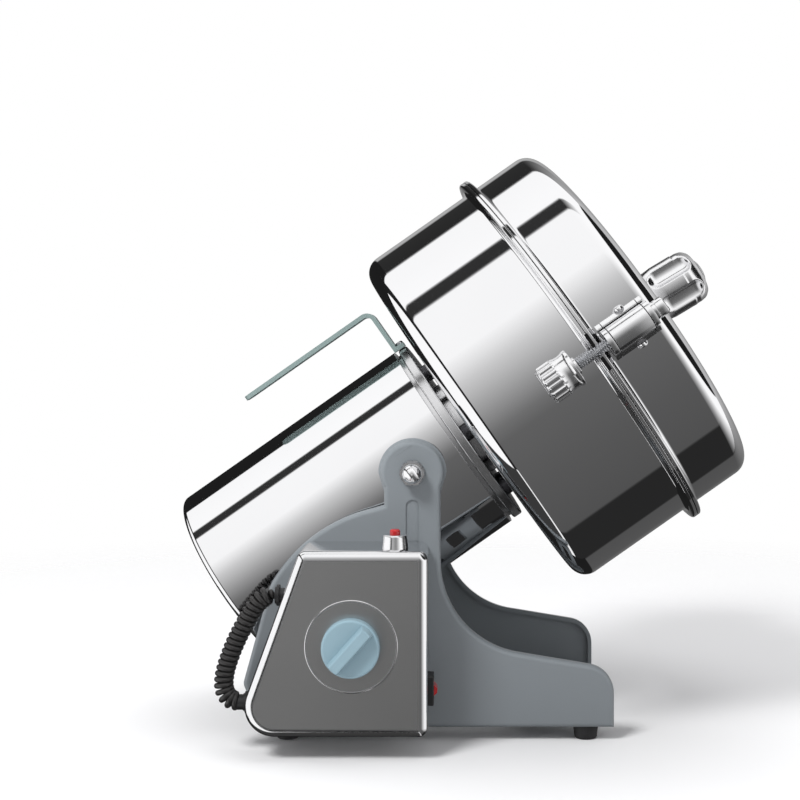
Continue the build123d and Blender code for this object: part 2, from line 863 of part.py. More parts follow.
with BuildPart() as rocker_at_rest:
    add(rocker_button.part.rotate(rocker_pivot, rocker_tilt / 2))
save(rocker_at_rest, "rocker_button")

with BuildPart() as terminal_block:
    with BuildSketch(front_plane(plate_outer)) as block_base:
        with Locations(block_middle):
            RectangleRounded(*block_size, 1)
    extrude(amount=block_height)
    with BuildSketch(front_plane(plate_outer + block_height)) as terminal_wells:
        with Locations(block_middle):
            with GridLocations(block_well_spacing, 0, block_wells, 1):
                Circle(block_well_radius)
    extrude(amount=-block_well_depth, mode=Mode.SUBTRACT)
save(terminal_block, "terminal_block")

with BuildPart() as box_screws:
    with BuildSketch(front_plane(plate_inner)) as box_screw_heads:
        with Locations(*box_screw_places):
            Circle(box_screw_radius)
    extrude(amount=-box_screw_height)
    fillet(box_screws.edges().group_by(Axis.Y)[-1], box_screw_edge)
save(box_screws, "box_screws")

for label, gland_z, cord_face in (
    ("lower_cord_gland", lower_gland_z, lower_cord_start),
    ("upper_cord_gland", upper_gland_z, upper_cord_end),
):
    flange_front = cord_face + gland_sleeve_length
    flange_back = flange_front + gland_flange_thickness
    with BuildPart() as gland:
        with BuildSketch(facing_left(slant_x(gland_z) + gland_depth, gland_z)) as gland_neck:
            Circle(gland_neck_radius)
        extrude(amount=slant_x(gland_z) + gland_depth - flange_back)
        with BuildSketch(facing_left(flange_back, gland_z)) as gland_flange:
            Circle(gland_flange_radius)
        extrude(amount=gland_flange_thickness)
        with BuildSketch(facing_left(flange_front, gland_z)) as gland_sleeve:
            Circle(gland_end_radius)
        extrude(amount=gland_sleeve_length)
    save(gland, label)

cord_route = [
    (-97.0, 29.2),
    (-101.5, 29.2),
    (-106.2, 32.0),
    (-108.7, 37.0),
    (-108.3, 45.5),
    (-104.9, 56.5),
    (-100.0, 68.0),
    (-93.5, 79.5),
    (-90.3, 84.8),
    (-87.0, 88.6),
    (-82.6, 91.1),
    (-78.6, 91.1),
]
route_points = [Vector(pivot_x + x, cord_y, z) for x, z in cord_route]


def corner_radius(before, corner, after):
    """The largest bend that two runs of the cord's route leave room for."""
    arriving, leaving = corner - before, after - corner
    half_turn = math.radians(arriving.get_angle(leaving)) / 2
    return 0.45 * min(arriving.length, leaving.length) / math.tan(half_turn)


cord_radii = [
    corner_radius(*route_points[i : i + 3]) for i in range(len(route_points) - 2)
]
print("cord bend radii", [round(radius, 1) for radius in cord_radii])

with BuildPart() as curly_cord:
    with BuildLine() as cord_path:
        FilletPolyline(*route_points, radius=cord_radii)
    with BuildSketch(Plane(origin=cord_path.line @ 0, z_dir=cord_path.line % 0)) as cord_end:
        Circle(cord_radius)
    sweep(path=cord_path.line)
cord_length = cord_path.wire().length
cord_volume = math.pi * cord_radius**2 * cord_length
print("cord length", round(cord_length, 1), "volume share", curly_cord.part.volume / cord_volume)
save(curly_cord, "curly_cord")

lip_outer_x = rear_cross_centre - cross_plate_length / 2
with BuildPart() as mains_gland:
    inner_end = lip_outer_x + cross_plate_gauge + 2 * mains_hex_thickness
    with BuildSketch(facing_left(inner_end, mains_gland_z, 0)) as mains_neck:
        Circle(mains_gland_radius - plate_gap)
    extrude(amount=inner_end - lip_outer_x + mains_gland_end)
    with BuildSketch(facing_left(lip_outer_x, mains_gland_z, 0)) as mains_hex:
        RegularPolygon(mains_hex_radius, 6)
    extrude(amount=mains_hex_thickness)
    lock_nut_face = lip_outer_x + cross_plate_gauge + mains_hex_thickness
    with BuildSketch(facing_left(lock_nut_face, mains_gland_z, 0)) as mains_lock_nut:
        RegularPolygon(mains_nut_radius, 6)
    extrude(amount=mains_hex_thickness)
    with BuildSketch(facing_left(inner_end, mains_gland_z, 0)) as mains_bore:
        Circle(mains_gland_bore)
    extrude(amount=inner_end - lip_outer_x + mains_gland_end, mode=Mode.SUBTRACT)
save(mains_gland, "mains_gland")

# ================================================================ motor casing
with BuildPart() as motor_casing:
    with BuildSketch(along()) as casing_section:
        with BuildLine():
            rim = casing_rim_radius
            Polyline(
                (casing_radius - rim, casing_rear),
                (casing_radius - casing_lip, casing_rear),
                (casing_radius - casing_lip, casing_rear + casing_wall),
                (casing_radius - rim, casing_rear + casing_wall),
            )
            JernArc(
                (casing_radius - rim, casing_rear + casing_wall), (1, 0), rim - casing_wall, 90
            )
            Polyline(
                (casing_inner, casing_rear + rim),
                (casing_inner, casing_front),
                (casing_radius, casing_front),
                (casing_radius, casing_rear + rim),
            )
            JernArc((casing_radius, casing_rear + rim), (0, -1), rim, -90)
        make_face()
    revolve(axis=mill_axis())
    for side in sides:
        with BuildSketch(front_plane(side * casing_radius)) as stud_hole:
            with Locations((0, pivot_height)):
                Circle(stud_radius + bolt_clearance)
        extrude(amount=2 * casing_wall, both=True, mode=Mode.SUBTRACT)
save(motor_casing, "motor_casing")

with BuildPart() as rear_cap:
    cap_start = casing_rear + rim
    cap_end = cap_start + rear_cap_thickness
    revolve(tube(0, casing_inner - seat_gap, cap_start, cap_end), axis=mill_axis())
    with BuildSketch(across(cap_start)) as vents:
        for ring_radius, count in vent_rings:
            with PolarLocations(ring_radius, count):
                SlotOverall(vent_length, vent_width)
    extrude(amount=rear_cap_thickness, mode=Mode.SUBTRACT)
save(rear_cap, "rear_cap")

with BuildPart() as pivot_bosses:
    for side in sides:
        boss_end = plate_inner - plate_gap
        with BuildSketch(front_plane(side * boss_end)) as boss:
            with Locations((0, pivot_height)):
                Circle(boss_radius)
        extrude(amount=-side * (boss_end - casing_radius + boss_seat))
    barrel = tube(0, casing_radius, -2 * boss_radius, 2 * boss_radius)
    revolve(barrel, axis=mill_axis(), mode=Mode.SUBTRACT)
    with BuildSketch(front_plane(0)) as boss_bore:
        with Locations((0, pivot_height)):
            Circle(stud_radius)
    extrude(amount=plate_outer, both=True, mode=Mode.SUBTRACT)
save(pivot_bosses, "pivot_bosses")

with BuildPart() as pivot_studs:
    stud_inner = casing_inner - stud_head_seat - stud_head_height
    for side in sides:
        with BuildSketch(front_plane(side * stud_inner)) as stud:
            with Locations((0, pivot_height)):
                Circle(stud_radius)
        extrude(amount=side * (plate_outer + stud_end - stud_inner))
        with BuildSketch(front_plane(side * stud_inner)) as stud_head:
            with Locations((0, pivot_height)):
                Circle(stud_head_radius)
        extrude(amount=side * stud_head_height)
save(pivot_studs, "pivot_studs")

with BuildPart() as pivot_washers:
    for side in sides:
        with BuildSketch(front_plane(side * (plate_outer + plate_gap))) as washer:
            with Locations((0, pivot_height)):
                Circle(washer_radius)
                Circle(stud_radius + running_fit, mode=Mode.SUBTRACT)
        with BuildSketch(front_plane(side * (plate_outer + plate_gap))) as washer_teeth:
            with Locations((0, pivot_height)):
                with PolarLocations(washer_radius, washer_teeth_count):
                    Circle(washer_tooth_radius)
        extrude(washer.sketch, amount=side * washer_thickness)
        extrude(washer_teeth.sketch, amount=side * washer_thickness, mode=Mode.SUBTRACT)
save(pivot_washers, "pivot_washers")

with BuildPart() as pivot_nuts:
    nut_face = plate_outer + plate_gap + washer_thickness
    for side in sides:
        with BuildSketch(front_plane(side * nut_face)) as hexagon:
            with Locations((0, pivot_height)):
                RegularPolygon(nut_across_flats / 2, 6, major_radius=False)
        extrude(amount=side * nut_height)
        dome_base = nut_face + nut_height
        with BuildSketch(
            Plane(origin=(pivot_x, side * dome_base, pivot_height), x_dir=(0, 0, 1), z_dir=(1, 0, 0))
        ) as dome_section:
            with BuildLine():
                CenterArc((0, 0), nut_dome_radius, 0, -side * 90)
                Polyline(
                    (nut_dome_radius, 0), (0, 0), (0, -side * nut_dome_radius)
                )
            make_face()
        revolve(axis=Axis((pivot_x, 0, pivot_height), (0, 1, 0)))
        with BuildSketch(front_plane(side * nut_face)) as nut_bore:
            with Locations((0, pivot_height)):
                Circle(stud_radius + running_fit)
        bore_end = plate_outer + stud_end + plate_gap
        extrude(amount=side * (bore_end - nut_face), mode=Mode.SUBTRACT)
save(pivot_nuts, "pivot_nuts")

# ================================================================ front flange
with BuildPart() as front_flange:
    flange_section = outline(
        along(),
        (shaft_radius + flange_shaft_gap, front_bearing_rear + bearing_width),
        (bearing_radius, front_bearing_rear + bearing_width),
        (bearing_radius, front_bearing_rear),
        (flange_hub_radius, front_bearing_rear),
        (flange_hub_radius, flange_band_rear),
        (casing_inner - seat_gap - flange_step, flange_band_rear),
        (casing_inner - seat_gap - flange_step, casing_front - flange_spigot_length),
        (casing_inner - seat_gap, casing_front - flange_spigot_length),
        (casing_inner - seat_gap, casing_front),
        (flange_groove_radius, casing_front),
        (flange_groove_radius, flange_band_rear),
        (flange_band_radius, flange_band_rear),
        (flange_band_radius, flange_band_front),
        (flange_neck_radius, flange_band_front),
        (flange_neck_radius, bowl_floor),
        (flange_seal_bore, bowl_floor),
        (flange_seal_bore, flange_band_front - flange_seal_depth),
        (shaft_radius + flange_shaft_gap, flange_band_front - flange_seal_depth),
    )
    revolve(flange_section, axis=mill_axis())
    band_edges = front_flange.edges().filter_by(
        lambda edge: edge.geom_type == GeomType.CIRCLE
        and abs(edge.radius - flange_band_radius) < 0.01
    )
    fillet(band_edges, flange_band_edge)
    with BuildSketch(across(flange_band_front)) as flange_holes:
        with PolarLocations(bolt_circle, bowl_bolts_count, start_angle=bolt_turn):
            Circle(bowl_bolt_radius + running_fit)
    extrude(amount=flange_band_rear - flange_band_front, mode=Mode.SUBTRACT)
save(front_flange, "front_flange")

with BuildPart() as bowl_spacers:
    with BuildSketch(across(flange_band_front)) as spacer_rings:
        with PolarLocations(bolt_circle, bowl_bolts_count, start_angle=bolt_turn):
            Circle(bowl_spacer_radius)
            Circle(bowl_bolt_radius + running_fit, mode=Mode.SUBTRACT)
    extrude(amount=bowl_floor - flange_band_front)
save(bowl_spacers, "bowl_spacers")

bowl_inner_floor = bowl_floor + bowl_wall
with BuildPart() as bowl_bolts:
    with BuildSketch(across(flange_band_rear + bowl_bolt_inset)) as bolt_shanks:
        with PolarLocations(bolt_circle, bowl_bolts_count, start_angle=bolt_turn):
            Circle(bowl_bolt_radius)
    extrude(amount=bowl_inner_floor - flange_band_rear - bowl_bolt_inset)
    with BuildSketch(across(bowl_inner_floor)) as bolt_heads:
        with PolarLocations(bolt_circle, bowl_bolts_count, start_angle=bolt_turn):
            Circle(bowl_bolt_head_radius)
    extrude(amount=bowl_bolt_head_height)
    head_faces = bowl_bolts.faces().sort_by(Axis(pivot, mill_dir))[-bowl_bolts_count:]
    fillet(head_faces.edges(), bowl_bolt_head_edge)
save(bowl_bolts, "bowl_bolts")

# ================================================================ bowl
bowl_inner = bowl_radius - bowl_wall
rim_start = rim_level - rim_thickness
bowl_bore = shaft_seal_neck + shaft_seal_gap
with BuildPart() as grinding_bowl:
    with BuildSketch(along()) as bowl_section:
        with BuildLine():
            corner = bowl_corner_radius
            Line((bowl_bore, bowl_floor), (bowl_radius - corner, bowl_floor))
            JernArc((bowl_radius - corner, bowl_floor), (1, 0), corner, 90)
            Line((bowl_radius, bowl_floor + corner), (bowl_radius, rim_start - rim_root_radius))
            JernArc((bowl_radius, rim_start - rim_root_radius), (0, 1), rim_root_radius, -90)
            Line(
                (bowl_radius + rim_root_radius, rim_start),
                (rim_radius - rim_edge_radius, rim_start),
            )
            JernArc((rim_radius - rim_edge_radius, rim_start), (1, 0), rim_edge_radius, 90)
            Polyline(
                (rim_radius, rim_start + rim_edge_radius),
                (rim_radius, rim_level),
                (bowl_inner, rim_level),
                (bowl_inner, bowl_floor + corner),
            )
            JernArc((bowl_inner, bowl_floor + corner), (0, -1), corner - bowl_wall, -90)
            Polyline(
                (bowl_radius - corner, bowl_inner_floor),
                (bowl_bore, bowl_inner_floor),
                (bowl_bore, bowl_floor),
            )
        make_face()
    revolve(axis=mill_axis())
    with BuildSketch(across(bowl_floor)) as bowl_holes:
        with PolarLocations(bolt_circle, bowl_bolts_count, start_angle=bolt_turn):
            Circle(bowl_bolt_radius + running_fit)
    extrude(amount=bowl_wall, mode=Mode.SUBTRACT)
    # clamp lugs: a fork that opens outwards on the hinge side, and sideways on the far side
    lug_sketch = outline(
        across(rim_start + lug_inset),
        (-lug_half_width, -clamp_offset - lug_reach),
        (lug_half_width, -clamp_offset - lug_reach),
        (lug_half_width, clamp_offset + lug_reach),
        (-lug_half_width, clamp_offset + lug_reach),
    )
    extrude(lug_sketch, amount=rim_thickness - 2 * lug_inset)
    mouth = tube(0, bowl_inner, rim_start - cut_margin, rim_level + cut_margin)
    revolve(mouth, axis=mill_axis(), mode=Mode.SUBTRACT)
    with BuildSketch(across(rim_start - cut_margin)) as rod_fork:
        with Locations((0, clamp_offset)):
            Circle(rod_radius + running_fit)
        with Locations((0, clamp_offset + lug_reach)):
            Rectangle(2 * (rod_radius + running_fit), 2 * lug_reach)
    extrude(amount=rim_thickness + 2 * cut_margin, mode=Mode.SUBTRACT)
    with BuildSketch(across(rim_start - cut_margin)) as rod_slot:
        with Locations((0, -clamp_offset)):
            Circle(rod_radius + lug_slot_fit)
        with Locations((lug_half_width, -clamp_offset)):
            Rectangle(2 * lug_half_width, 2 * (rod_radius + lug_slot_fit))
    extrude(amount=rim_thickness + 2 * cut_margin, mode=Mode.SUBTRACT)
save(grinding_bowl, "grinding_bowl")

with BuildPart() as shaft_seal:
    seal_section = outline(
        along(),
        (shaft_radius + running_fit, flange_band_front),
        (shaft_seal_neck, flange_band_front),
        (shaft_seal_neck, bowl_inner_floor),
        (shaft_seal_flange, bowl_inner_floor),
        (shaft_seal_flange, bowl_inner_floor + shaft_seal_flange_thickness),
        (shaft_seal_nose, bowl_inner_floor + shaft_seal_height),
        (shaft_radius + running_fit, bowl_inner_floor + shaft_seal_height),
    )
    revolve(seal_section, axis=mill_axis())
save(shaft_seal, "shaft_seal")

# ================================================================ lid
lid_rim_end = lid_start + rim_thickness
with BuildPart() as lid:
    with BuildSketch(along()) as lid_section:
        with BuildLine():
            corner = lid_corner_radius
            Polyline(
                (bowl_inner, lid_front - corner),
                (bowl_inner, lid_start),
                (rim_radius, lid_start),
                (rim_radius, lid_rim_end - rim_edge_radius),
            )
            JernArc((rim_radius, lid_rim_end - rim_edge_radius), (0, 1), rim_edge_radius, 90)
            Line(
                (rim_radius - rim_edge_radius, lid_rim_end),
                (bowl_radius + rim_root_radius, lid_rim_end),
            )
            JernArc((bowl_radius + rim_root_radius, lid_rim_end), (-1, 0), rim_root_radius, -90)
            Line((bowl_radius, lid_rim_end + rim_root_radius), (bowl_radius, lid_front - corner))
            JernArc((bowl_radius, lid_front - corner), (0, 1), corner, 90)
            Polyline(
                (bowl_radius - corner, lid_front),
                (star_stud_radius + bolt_clearance, lid_front),
                (star_stud_radius + bolt_clearance, lid_front - bowl_wall),
                (bowl_radius - corner, lid_front - bowl_wall),
            )
            JernArc((bowl_radius - corner, lid_front - bowl_wall), (1, 0), corner - bowl_wall, -90)
        make_face()
    revolve(axis=mill_axis())
save(lid, "lid")

with BuildPart() as lid_seal:
    seal_outer = bowl_inner - seam
    lip = seal_width / 3
    with BuildSketch(along()) as lid_seal_section:
        with BuildLine():
            Polyline(
                (seal_outer, lid_start),
                (seal_outer, lid_start + 2 * seal_thickness),
                (seal_outer - lip, lid_start + 2 * seal_thickness),
                (seal_outer - lip, lid_start + seal_thickness),
                (seal_outer - seal_width, lid_start + seal_thickness),
                (seal_outer - seal_width, lid_start),
                close=True,
            )
        make_face()
    revolve(axis=mill_axis())
save(lid_seal, "lid_seal")

with BuildPart() as clamp_brackets:
    for side in sides:
        rod_y = side * clamp_offset
        # barrel that the rod runs through
        barrel_end = barrel_start + barrel_length
        barrel = tube(rod_radius + running_fit, barrel_radius, barrel_start, barrel_end, rod_y)
        revolve(barrel, axis=mill_axis(rod_y))
        # block that seats the barrel on the lid's wall
        block = outline(
            across(bracket_block_start),
            (-bracket_half_width, -side * (bowl_radius - bracket_seat)),
            (bracket_half_width, -side * (bowl_radius - bracket_seat)),
            (bracket_half_width, -side * (bowl_radius + bracket_foot)),
            (bracket_neck_half_width, -side * (clamp_offset - bracket_neck_reach)),
            (-bracket_neck_half_width, -side * (clamp_offset - bracket_neck_reach)),
            (-bracket_half_width, -side * (bowl_radius + bracket_foot)),
        )
        extrude(block, amount=barrel_end - bracket_block_start)
    wall_room = tube(0, bowl_radius, lid_start - cut_margin, lid_front)
    revolve(wall_room, axis=mill_axis(), mode=Mode.SUBTRACT)
    for side in sides:
        rod_y = side * clamp_offset
        with BuildSketch(across(barrel_start - cut_margin, rod_y)) as bracket_bore:
            Circle(rod_radius + running_fit)
        extrude(amount=barrel_length + 2 * cut_margin, mode=Mode.SUBTRACT)
        for groove in (barrel_start + barrel_low_groove, barrel_end - barrel_high_groove):
            ring = tube(
                barrel_radius - barrel_groove_depth,
                barrel_radius + cut_margin,
                groove,
                groove + barrel_groove_width,
                rod_y,
            )
            revolve(ring, axis=mill_axis(rod_y), mode=Mode.SUBTRACT)
save(clamp_brackets, "clamp_brackets")

with BuildPart() as bracket_screws:
    cap_axial = (bracket_block_start + barrel_end) / 2
    for side in sides:
        for way in sides:
            screw_plane = Plane(
                origin=mill_point(
                    cap_axial,
                    way * bracket_half_width,
                    side * (bowl_radius + bracket_screw_level),
                ),
                x_dir=mill_dir,
                z_dir=rise_dir * way,
            )
            with BuildSketch(screw_plane) as screw_cap:
                Circle(bracket_screw_radius)
            extrude(amount=bracket_screw_height)
    fillet(
        bracket_screws.edges().filter_by(
            lambda edge: edge.geom_type == GeomType.CIRCLE
            and abs((edge.center() - pivot).dot(rise_dir))
            > bracket_half_width + bracket_screw_height / 2
        ),
        bracket_screw_edge,
    )
save(bracket_screws, "bracket_screws")

with BuildPart() as clamp_rods:
    for side in sides:
        rod_y = side * clamp_offset
        rod_section = outline(
            along(rod_y),
            (0, rod_start),
            (rod_radius - rod_chamfer, rod_start),
            (rod_radius, rod_start + rod_chamfer),
            (rod_radius, barrel_end + running_fit),
            (rod_head_radius, barrel_end + running_fit),
            (rod_head_radius, barrel_end + rod_head_height - rod_head_edge),
            (rod_head_radius - rod_head_edge, barrel_end + rod_head_height),
            (0, barrel_end + rod_head_height),
        )
        revolve(rod_section, axis=mill_axis(rod_y))
        with BuildSketch(across(barrel_end + rod_head_height, rod_y)) as socket:
            RegularPolygon(rod_socket_radius, 6)
        extrude(amount=-rod_socket_depth, mode=Mode.SUBTRACT)
save(clamp_rods, "clamp_rods")

nut_end = nut_start + nut_length
for label, side in (("near_clamp_nut", -1), ("far_clamp_nut", 1)):
    nut_y = side * clamp_offset
    with BuildPart() as clamp_nut:
        nut_section = outline(
            along(nut_y),
            (0, nut_start),
            (nut_radius - nut_low_edge, nut_start),
            (nut_radius, nut_start + nut_low_edge),
            (nut_radius, nut_end - nut_high_edge),
            (nut_radius - nut_high_edge, nut_end),
            (nut_collar_radius, nut_end),
            (nut_collar_radius, nut_end + nut_collar_length - nut_collar_edge),
            (nut_collar_radius - nut_collar_edge, nut_end + nut_collar_length),
            (rod_radius + running_fit, nut_end + nut_collar_length),
            (rod_radius + running_fit, rod_start - seat_gap),
            (0, rod_start - seat_gap),
        )
        revolve(nut_section, axis=mill_axis(nut_y))
        with BuildSketch(across(nut_start - cut_margin, nut_y)) as flutes:
            with PolarLocations(nut_radius + nut_flute_offset, nut_flutes):
                Circle(nut_flute_radius)
        extrude(amount=nut_length + cut_margin - nut_flute_end, mode=Mode.SUBTRACT)
    save(clamp_nut, label)

# ---------------------------------------------------------------- star knob
star_back = star_start - star_neck_length
star_end = star_start + star_length
crown_rise = star_crown_height - star_crown_step
crown_sphere = (star_crown_radius**2 + crown_rise**2) / (2 * crown_rise)
crown_angle = math.degrees(math.acos(star_crown_radius / crown_sphere))
flute_low = star_flute_low
flute_high = star_length - star_flute_high
with BuildPart() as flute_cutter:
    # a rod with round ends, so that each flute is a closed scoop
    with BuildSketch(Plane.XZ) as flute_section:
        with BuildLine():
            Line((0, flute_low), (0, flute_high))
            JernArc((0, flute_high), (1, 0), star_flute_radius, -90)
            Line(
                (star_flute_radius, flute_high - star_flute_radius),
                (star_flute_radius, flute_low + star_flute_radius),
            )
            JernArc(
                (star_flute_radius, flute_low + star_flute_radius), (0, -1), star_flute_radius, -90
            )
        make_face()
    revolve(axis=Axis.Z)

with BuildPart() as lid_knob:
    with BuildSketch(along()) as knob_section:
        with BuildLine():
            shoulder = star_shoulder_radius
            Polyline(
                (0, star_back),
                (star_neck_radius, star_back),
                (star_neck_radius, star_start),
                (star_radius - star_edge, star_start),
                (star_radius, star_start + star_edge),
                (star_radius, star_end - shoulder),
            )
            JernArc((star_radius, star_end - shoulder), (0, 1), shoulder, 90)
            Polyline(
                (star_radius - shoulder, star_end),
                (star_crown_radius, star_end),
                (star_crown_radius, star_end + star_crown_step),
            )
            CenterArc(
                (0, star_end + star_crown_height - crown_sphere),
                crown_sphere,
                crown_angle,
                90 - crown_angle,
            )
            Line((0, star_end + star_crown_height), (0, star_back))
        make_face()
    revolve(axis=mill_axis())
    with Locations(across(star_start)):
        with PolarLocations(star_radius + star_flute_radius - star_flute_depth, star_lobes):
            add(flute_cutter.part, mode=Mode.SUBTRACT)
    with BuildSketch(across(star_back)) as stud_bore:
        Circle(star_stud_radius + running_fit)
    extrude(amount=star_neck_length + star_length / 2, mode=Mode.SUBTRACT)
save(lid_knob, "lid_knob")

with BuildPart() as lid_knob_stud:
    stud_back = lid_front - bowl_wall - star_nut_height
    stud_front = star_start + star_length / 2 - seat_gap
    revolve(tube(0, star_stud_radius, stud_back, stud_front), axis=mill_axis())
    with BuildSketch(across(stud_back)) as stud_nut:
        RegularPolygon(star_nut_radius, 6)
    extrude(amount=star_nut_height)
    washer_section = tube(
        star_stud_radius, star_neck_radius + star_washer_width, lid_front, star_back
    )
    revolve(washer_section, axis=mill_axis())
save(lid_knob_stud, "lid_knob_stud")

# ================================================================ tilting handle
tab_level = flange_band_radius + plate_gap
tab_end = flange_band_front - plate_gap
leg_rear = handle_leg_front - handle_thickness
screw_axial = (handle_leg_front + tab_end) / 2
with BuildPart() as tilt_handle:
    with BuildSketch(along()) as strip_edge:
        with BuildLine():
            Polyline(
                (tab_level, tab_end),
                (tab_level, leg_rear),
                (handle_height - handle_bend_radius, leg_rear),
            )
            JernArc(
                (handle_height - handle_bend_radius, leg_rear),
                (1, 0),
                handle_bend_radius - handle_thickness,
                -90,
            )
            Polyline(
                (handle_height - handle_thickness, handle_leg_front - handle_bend_radius),
                (handle_height - handle_thickness, handle_end),
                (handle_height, handle_end),
                (handle_height, handle_leg_front - handle_bend_radius),
            )
            JernArc(
                (handle_height, handle_leg_front - handle_bend_radius),
                (0, 1),
                handle_bend_radius,
                90,
            )
            Polyline(
                (handle_height - handle_bend_radius, handle_leg_front),
                (tab_level + handle_thickness, handle_leg_front),
                (tab_level + handle_thickness, tab_end),
                (tab_level, tab_end),
            )
        make_face()
    extrude(amount=handle_width / 2, both=True)
    corners = [
        edge
        for edge in tilt_handle.edges()
        if abs(edge.length - handle_thickness) < 0.01
        and abs(abs(edge.center().Y) - handle_width / 2) < 0.01
        and (edge.center() - pivot).dot(mill_dir) < handle_end + cut_margin
    ]
    fillet(corners, handle_corner_radius)
    for side in sides:
        tab_hole = Plane(
            origin=mill_point(screw_axial, tab_level, side * handle_screw_offset),
            x_dir=mill_dir,
            z_dir=rise_dir,
        )
        with BuildSketch(tab_hole) as screw_hole:
            Circle(handle_screw_radius + bolt_clearance)
        extrude(amount=handle_thickness, mode=Mode.SUBTRACT)
save(tilt_handle, "tilt_handle")

with BuildPart() as handle_screws:
    for side in sides:
        screw_seat = Plane(
            origin=mill_point(
                screw_axial, tab_level + handle_thickness, side * handle_screw_offset
            ),
            x_dir=mill_dir,
            z_dir=rise_dir,
        )
        with BuildSketch(screw_seat) as handle_screw_head:
            Circle(handle_screw_head_radius)
        extrude(amount=handle_screw_head_height)
        with BuildSketch(screw_seat) as handle_screw_shank:
            Circle(handle_screw_radius)
        extrude(amount=-handle_thickness - seam)
    screw_rims = handle_screws.edges().filter_by(GeomType.CIRCLE).sort_by(Axis(pivot, rise_dir))
    fillet(screw_rims[-len(sides):], handle_screw_head_edge)
save(handle_screws, "handle_screws")

# ================================================================ motor
bell_front = rear_bell_rear + rear_bell_thickness
bearing_bore = shaft_radius + running_fit
with BuildPart() as rear_bell:
    revolve(
        tube(bearing_radius, casing_inner - seat_gap, rear_bell_rear, bell_front),
        axis=mill_axis(),
    )
    revolve(
        tube(
            bearing_radius,
            flange_hub_radius,
            rear_bell_rear - bearing_width + rear_bell_seat,
            rear_bell_rear,
        ),
        axis=mill_axis(),
    )
    with BuildSketch(across(rear_bell_rear)) as bell_windows:
        window_turn = 360 / bell_windows_count
        for window in range(bell_windows_count):
            add(
                sector(
                    Plane.XY,
                    bell_window_inner,
                    bell_window_outer,
                    bell_window_half_angle,
                    (window + 0.5) * window_turn,
                )
            )
    extrude(amount=rear_bell_thickness, mode=Mode.SUBTRACT)
save(rear_bell, "rear_bell")

for label, start in (
    ("front_bearing", front_bearing_rear),
    ("rear_bearing", bell_front - bearing_width),
):
    with BuildPart() as bearing:
        revolve(
            tube(bearing_bore, bearing_radius - running_fit, start, start + bearing_width),
            axis=mill_axis(),
        )
        for face_start in (start, start + bearing_width - bearing_shield_inset):
            shield = tube(
                bearing_bore + bearing_inner_ring,
                bearing_radius - bearing_outer_ring,
                face_start,
                face_start + bearing_shield_inset,
            )
            revolve(shield, axis=mill_axis(), mode=Mode.SUBTRACT)
    save(bearing, label)

with BuildPart() as stator_core:
    stack_length = stator_front - stator_rear
    with BuildSketch(across(stator_rear)) as lamination:
        Circle(casing_inner - seat_gap)
        Circle(stator_bore, mode=Mode.SUBTRACT)
        for slot in (0, 180):
            for way in sides:
                slot_middle = slot + way * (pole_half_angle + coil_half_angle) / 2
                slot_half = (coil_half_angle - pole_half_angle) / 2 + slot_play
                add(
                    sector(
                        Plane.XY,
                        coil_inner - seat_gap,
                        coil_outer + seat_gap,
                        slot_half,
                        slot_middle,
                    ),
                    mode=Mode.SUBTRACT,
                )
        with GridLocations(0, 2 * casing_inner, 1, 2):
            Rectangle(stator_flat_width, 2 * stator_flat_depth, mode=Mode.SUBTRACT)
    extrude(amount=stack_length)
save(stator_core, "stator_core")

with BuildPart() as field_coils:
    for slot in (0, 180):
        coil_plane = across(stator_rear - coil_overhang)
        coil = sector(coil_plane, coil_inner, coil_outer, coil_half_angle, slot)
        extrude(coil, amount=stack_length + 2 * coil_overhang)
        pole_plane = across(stator_rear - seat_gap)
        pole = sector(
            pole_plane,
            coil_inner - pole_margin,
            coil_outer + pole_margin,
            pole_half_angle,
            slot,
        )
        extrude(pole, amount=stack_length + 2 * seat_gap, mode=Mode.SUBTRACT)
save(field_coils, "field_coils")

with BuildPart() as armature:
    armature_radius = stator_bore - air_gap
    with BuildSketch(across(stator_rear)) as armature_lamination:
        Circle(armature_radius)
        Circle(shaft_radius, mode=Mode.SUBTRACT)
        with PolarLocations(armature_radius, armature_slots):
            Rectangle(2 * armature_slot_depth, armature_slot_width, mode=Mode.SUBTRACT)
    extrude(amount=stack_length)
    winding_radius = armature_radius - winding_inset
    for start, end in (
        (stator_rear - winding_length, stator_rear),
        (stator_front, stator_front + winding_length),
    ):
        revolve(tube(shaft_radius, winding_radius, start, end), axis=mill_axis())
save(armature, "armature")

with BuildPart() as commutator:
    commutator_end = commutator_rear + commutator_length
    with BuildSketch(across(commutator_rear)) as commutator_bars:
        Circle(commutator_radius)
        Circle(shaft_radius, mode=Mode.SUBTRACT)
        with PolarLocations(commutator_radius, commutator_bars_count):
            Rectangle(2 * commutator_slot_depth, commutator_slot_width, mode=Mode.SUBTRACT)
    extrude(amount=commutator_length)
    riser = tube(
        shaft_radius,
        commutator_radius + commutator_riser_rise,
        commutator_end,
        commutator_end + commutator_riser_length,
    )
    revolve(riser, axis=mill_axis())
save(commutator, "commutator")

brush_start = commutator_rear + brush_inset
holder_middle = commutator_radius + holder_gap + holder_reach / 2
with BuildPart() as brush_holders:
    for side in sides:
        with BuildSketch(across(bell_front)) as holder_outline:
            with Locations((0, side * holder_middle)):
                Rectangle(brush_width + 2 * holder_wall, holder_reach)
        extrude(amount=brush_start + brush_length + holder_wall - bell_front)
        with BuildSketch(across(brush_start)) as brush_window:
            with Locations((0, side * holder_middle)):
                Rectangle(brush_width + 2 * running_fit, holder_reach + 2 * cut_margin)
        extrude(amount=brush_length + 2 * running_fit, mode=Mode.SUBTRACT)
save(brush_holders, "brush_holders")

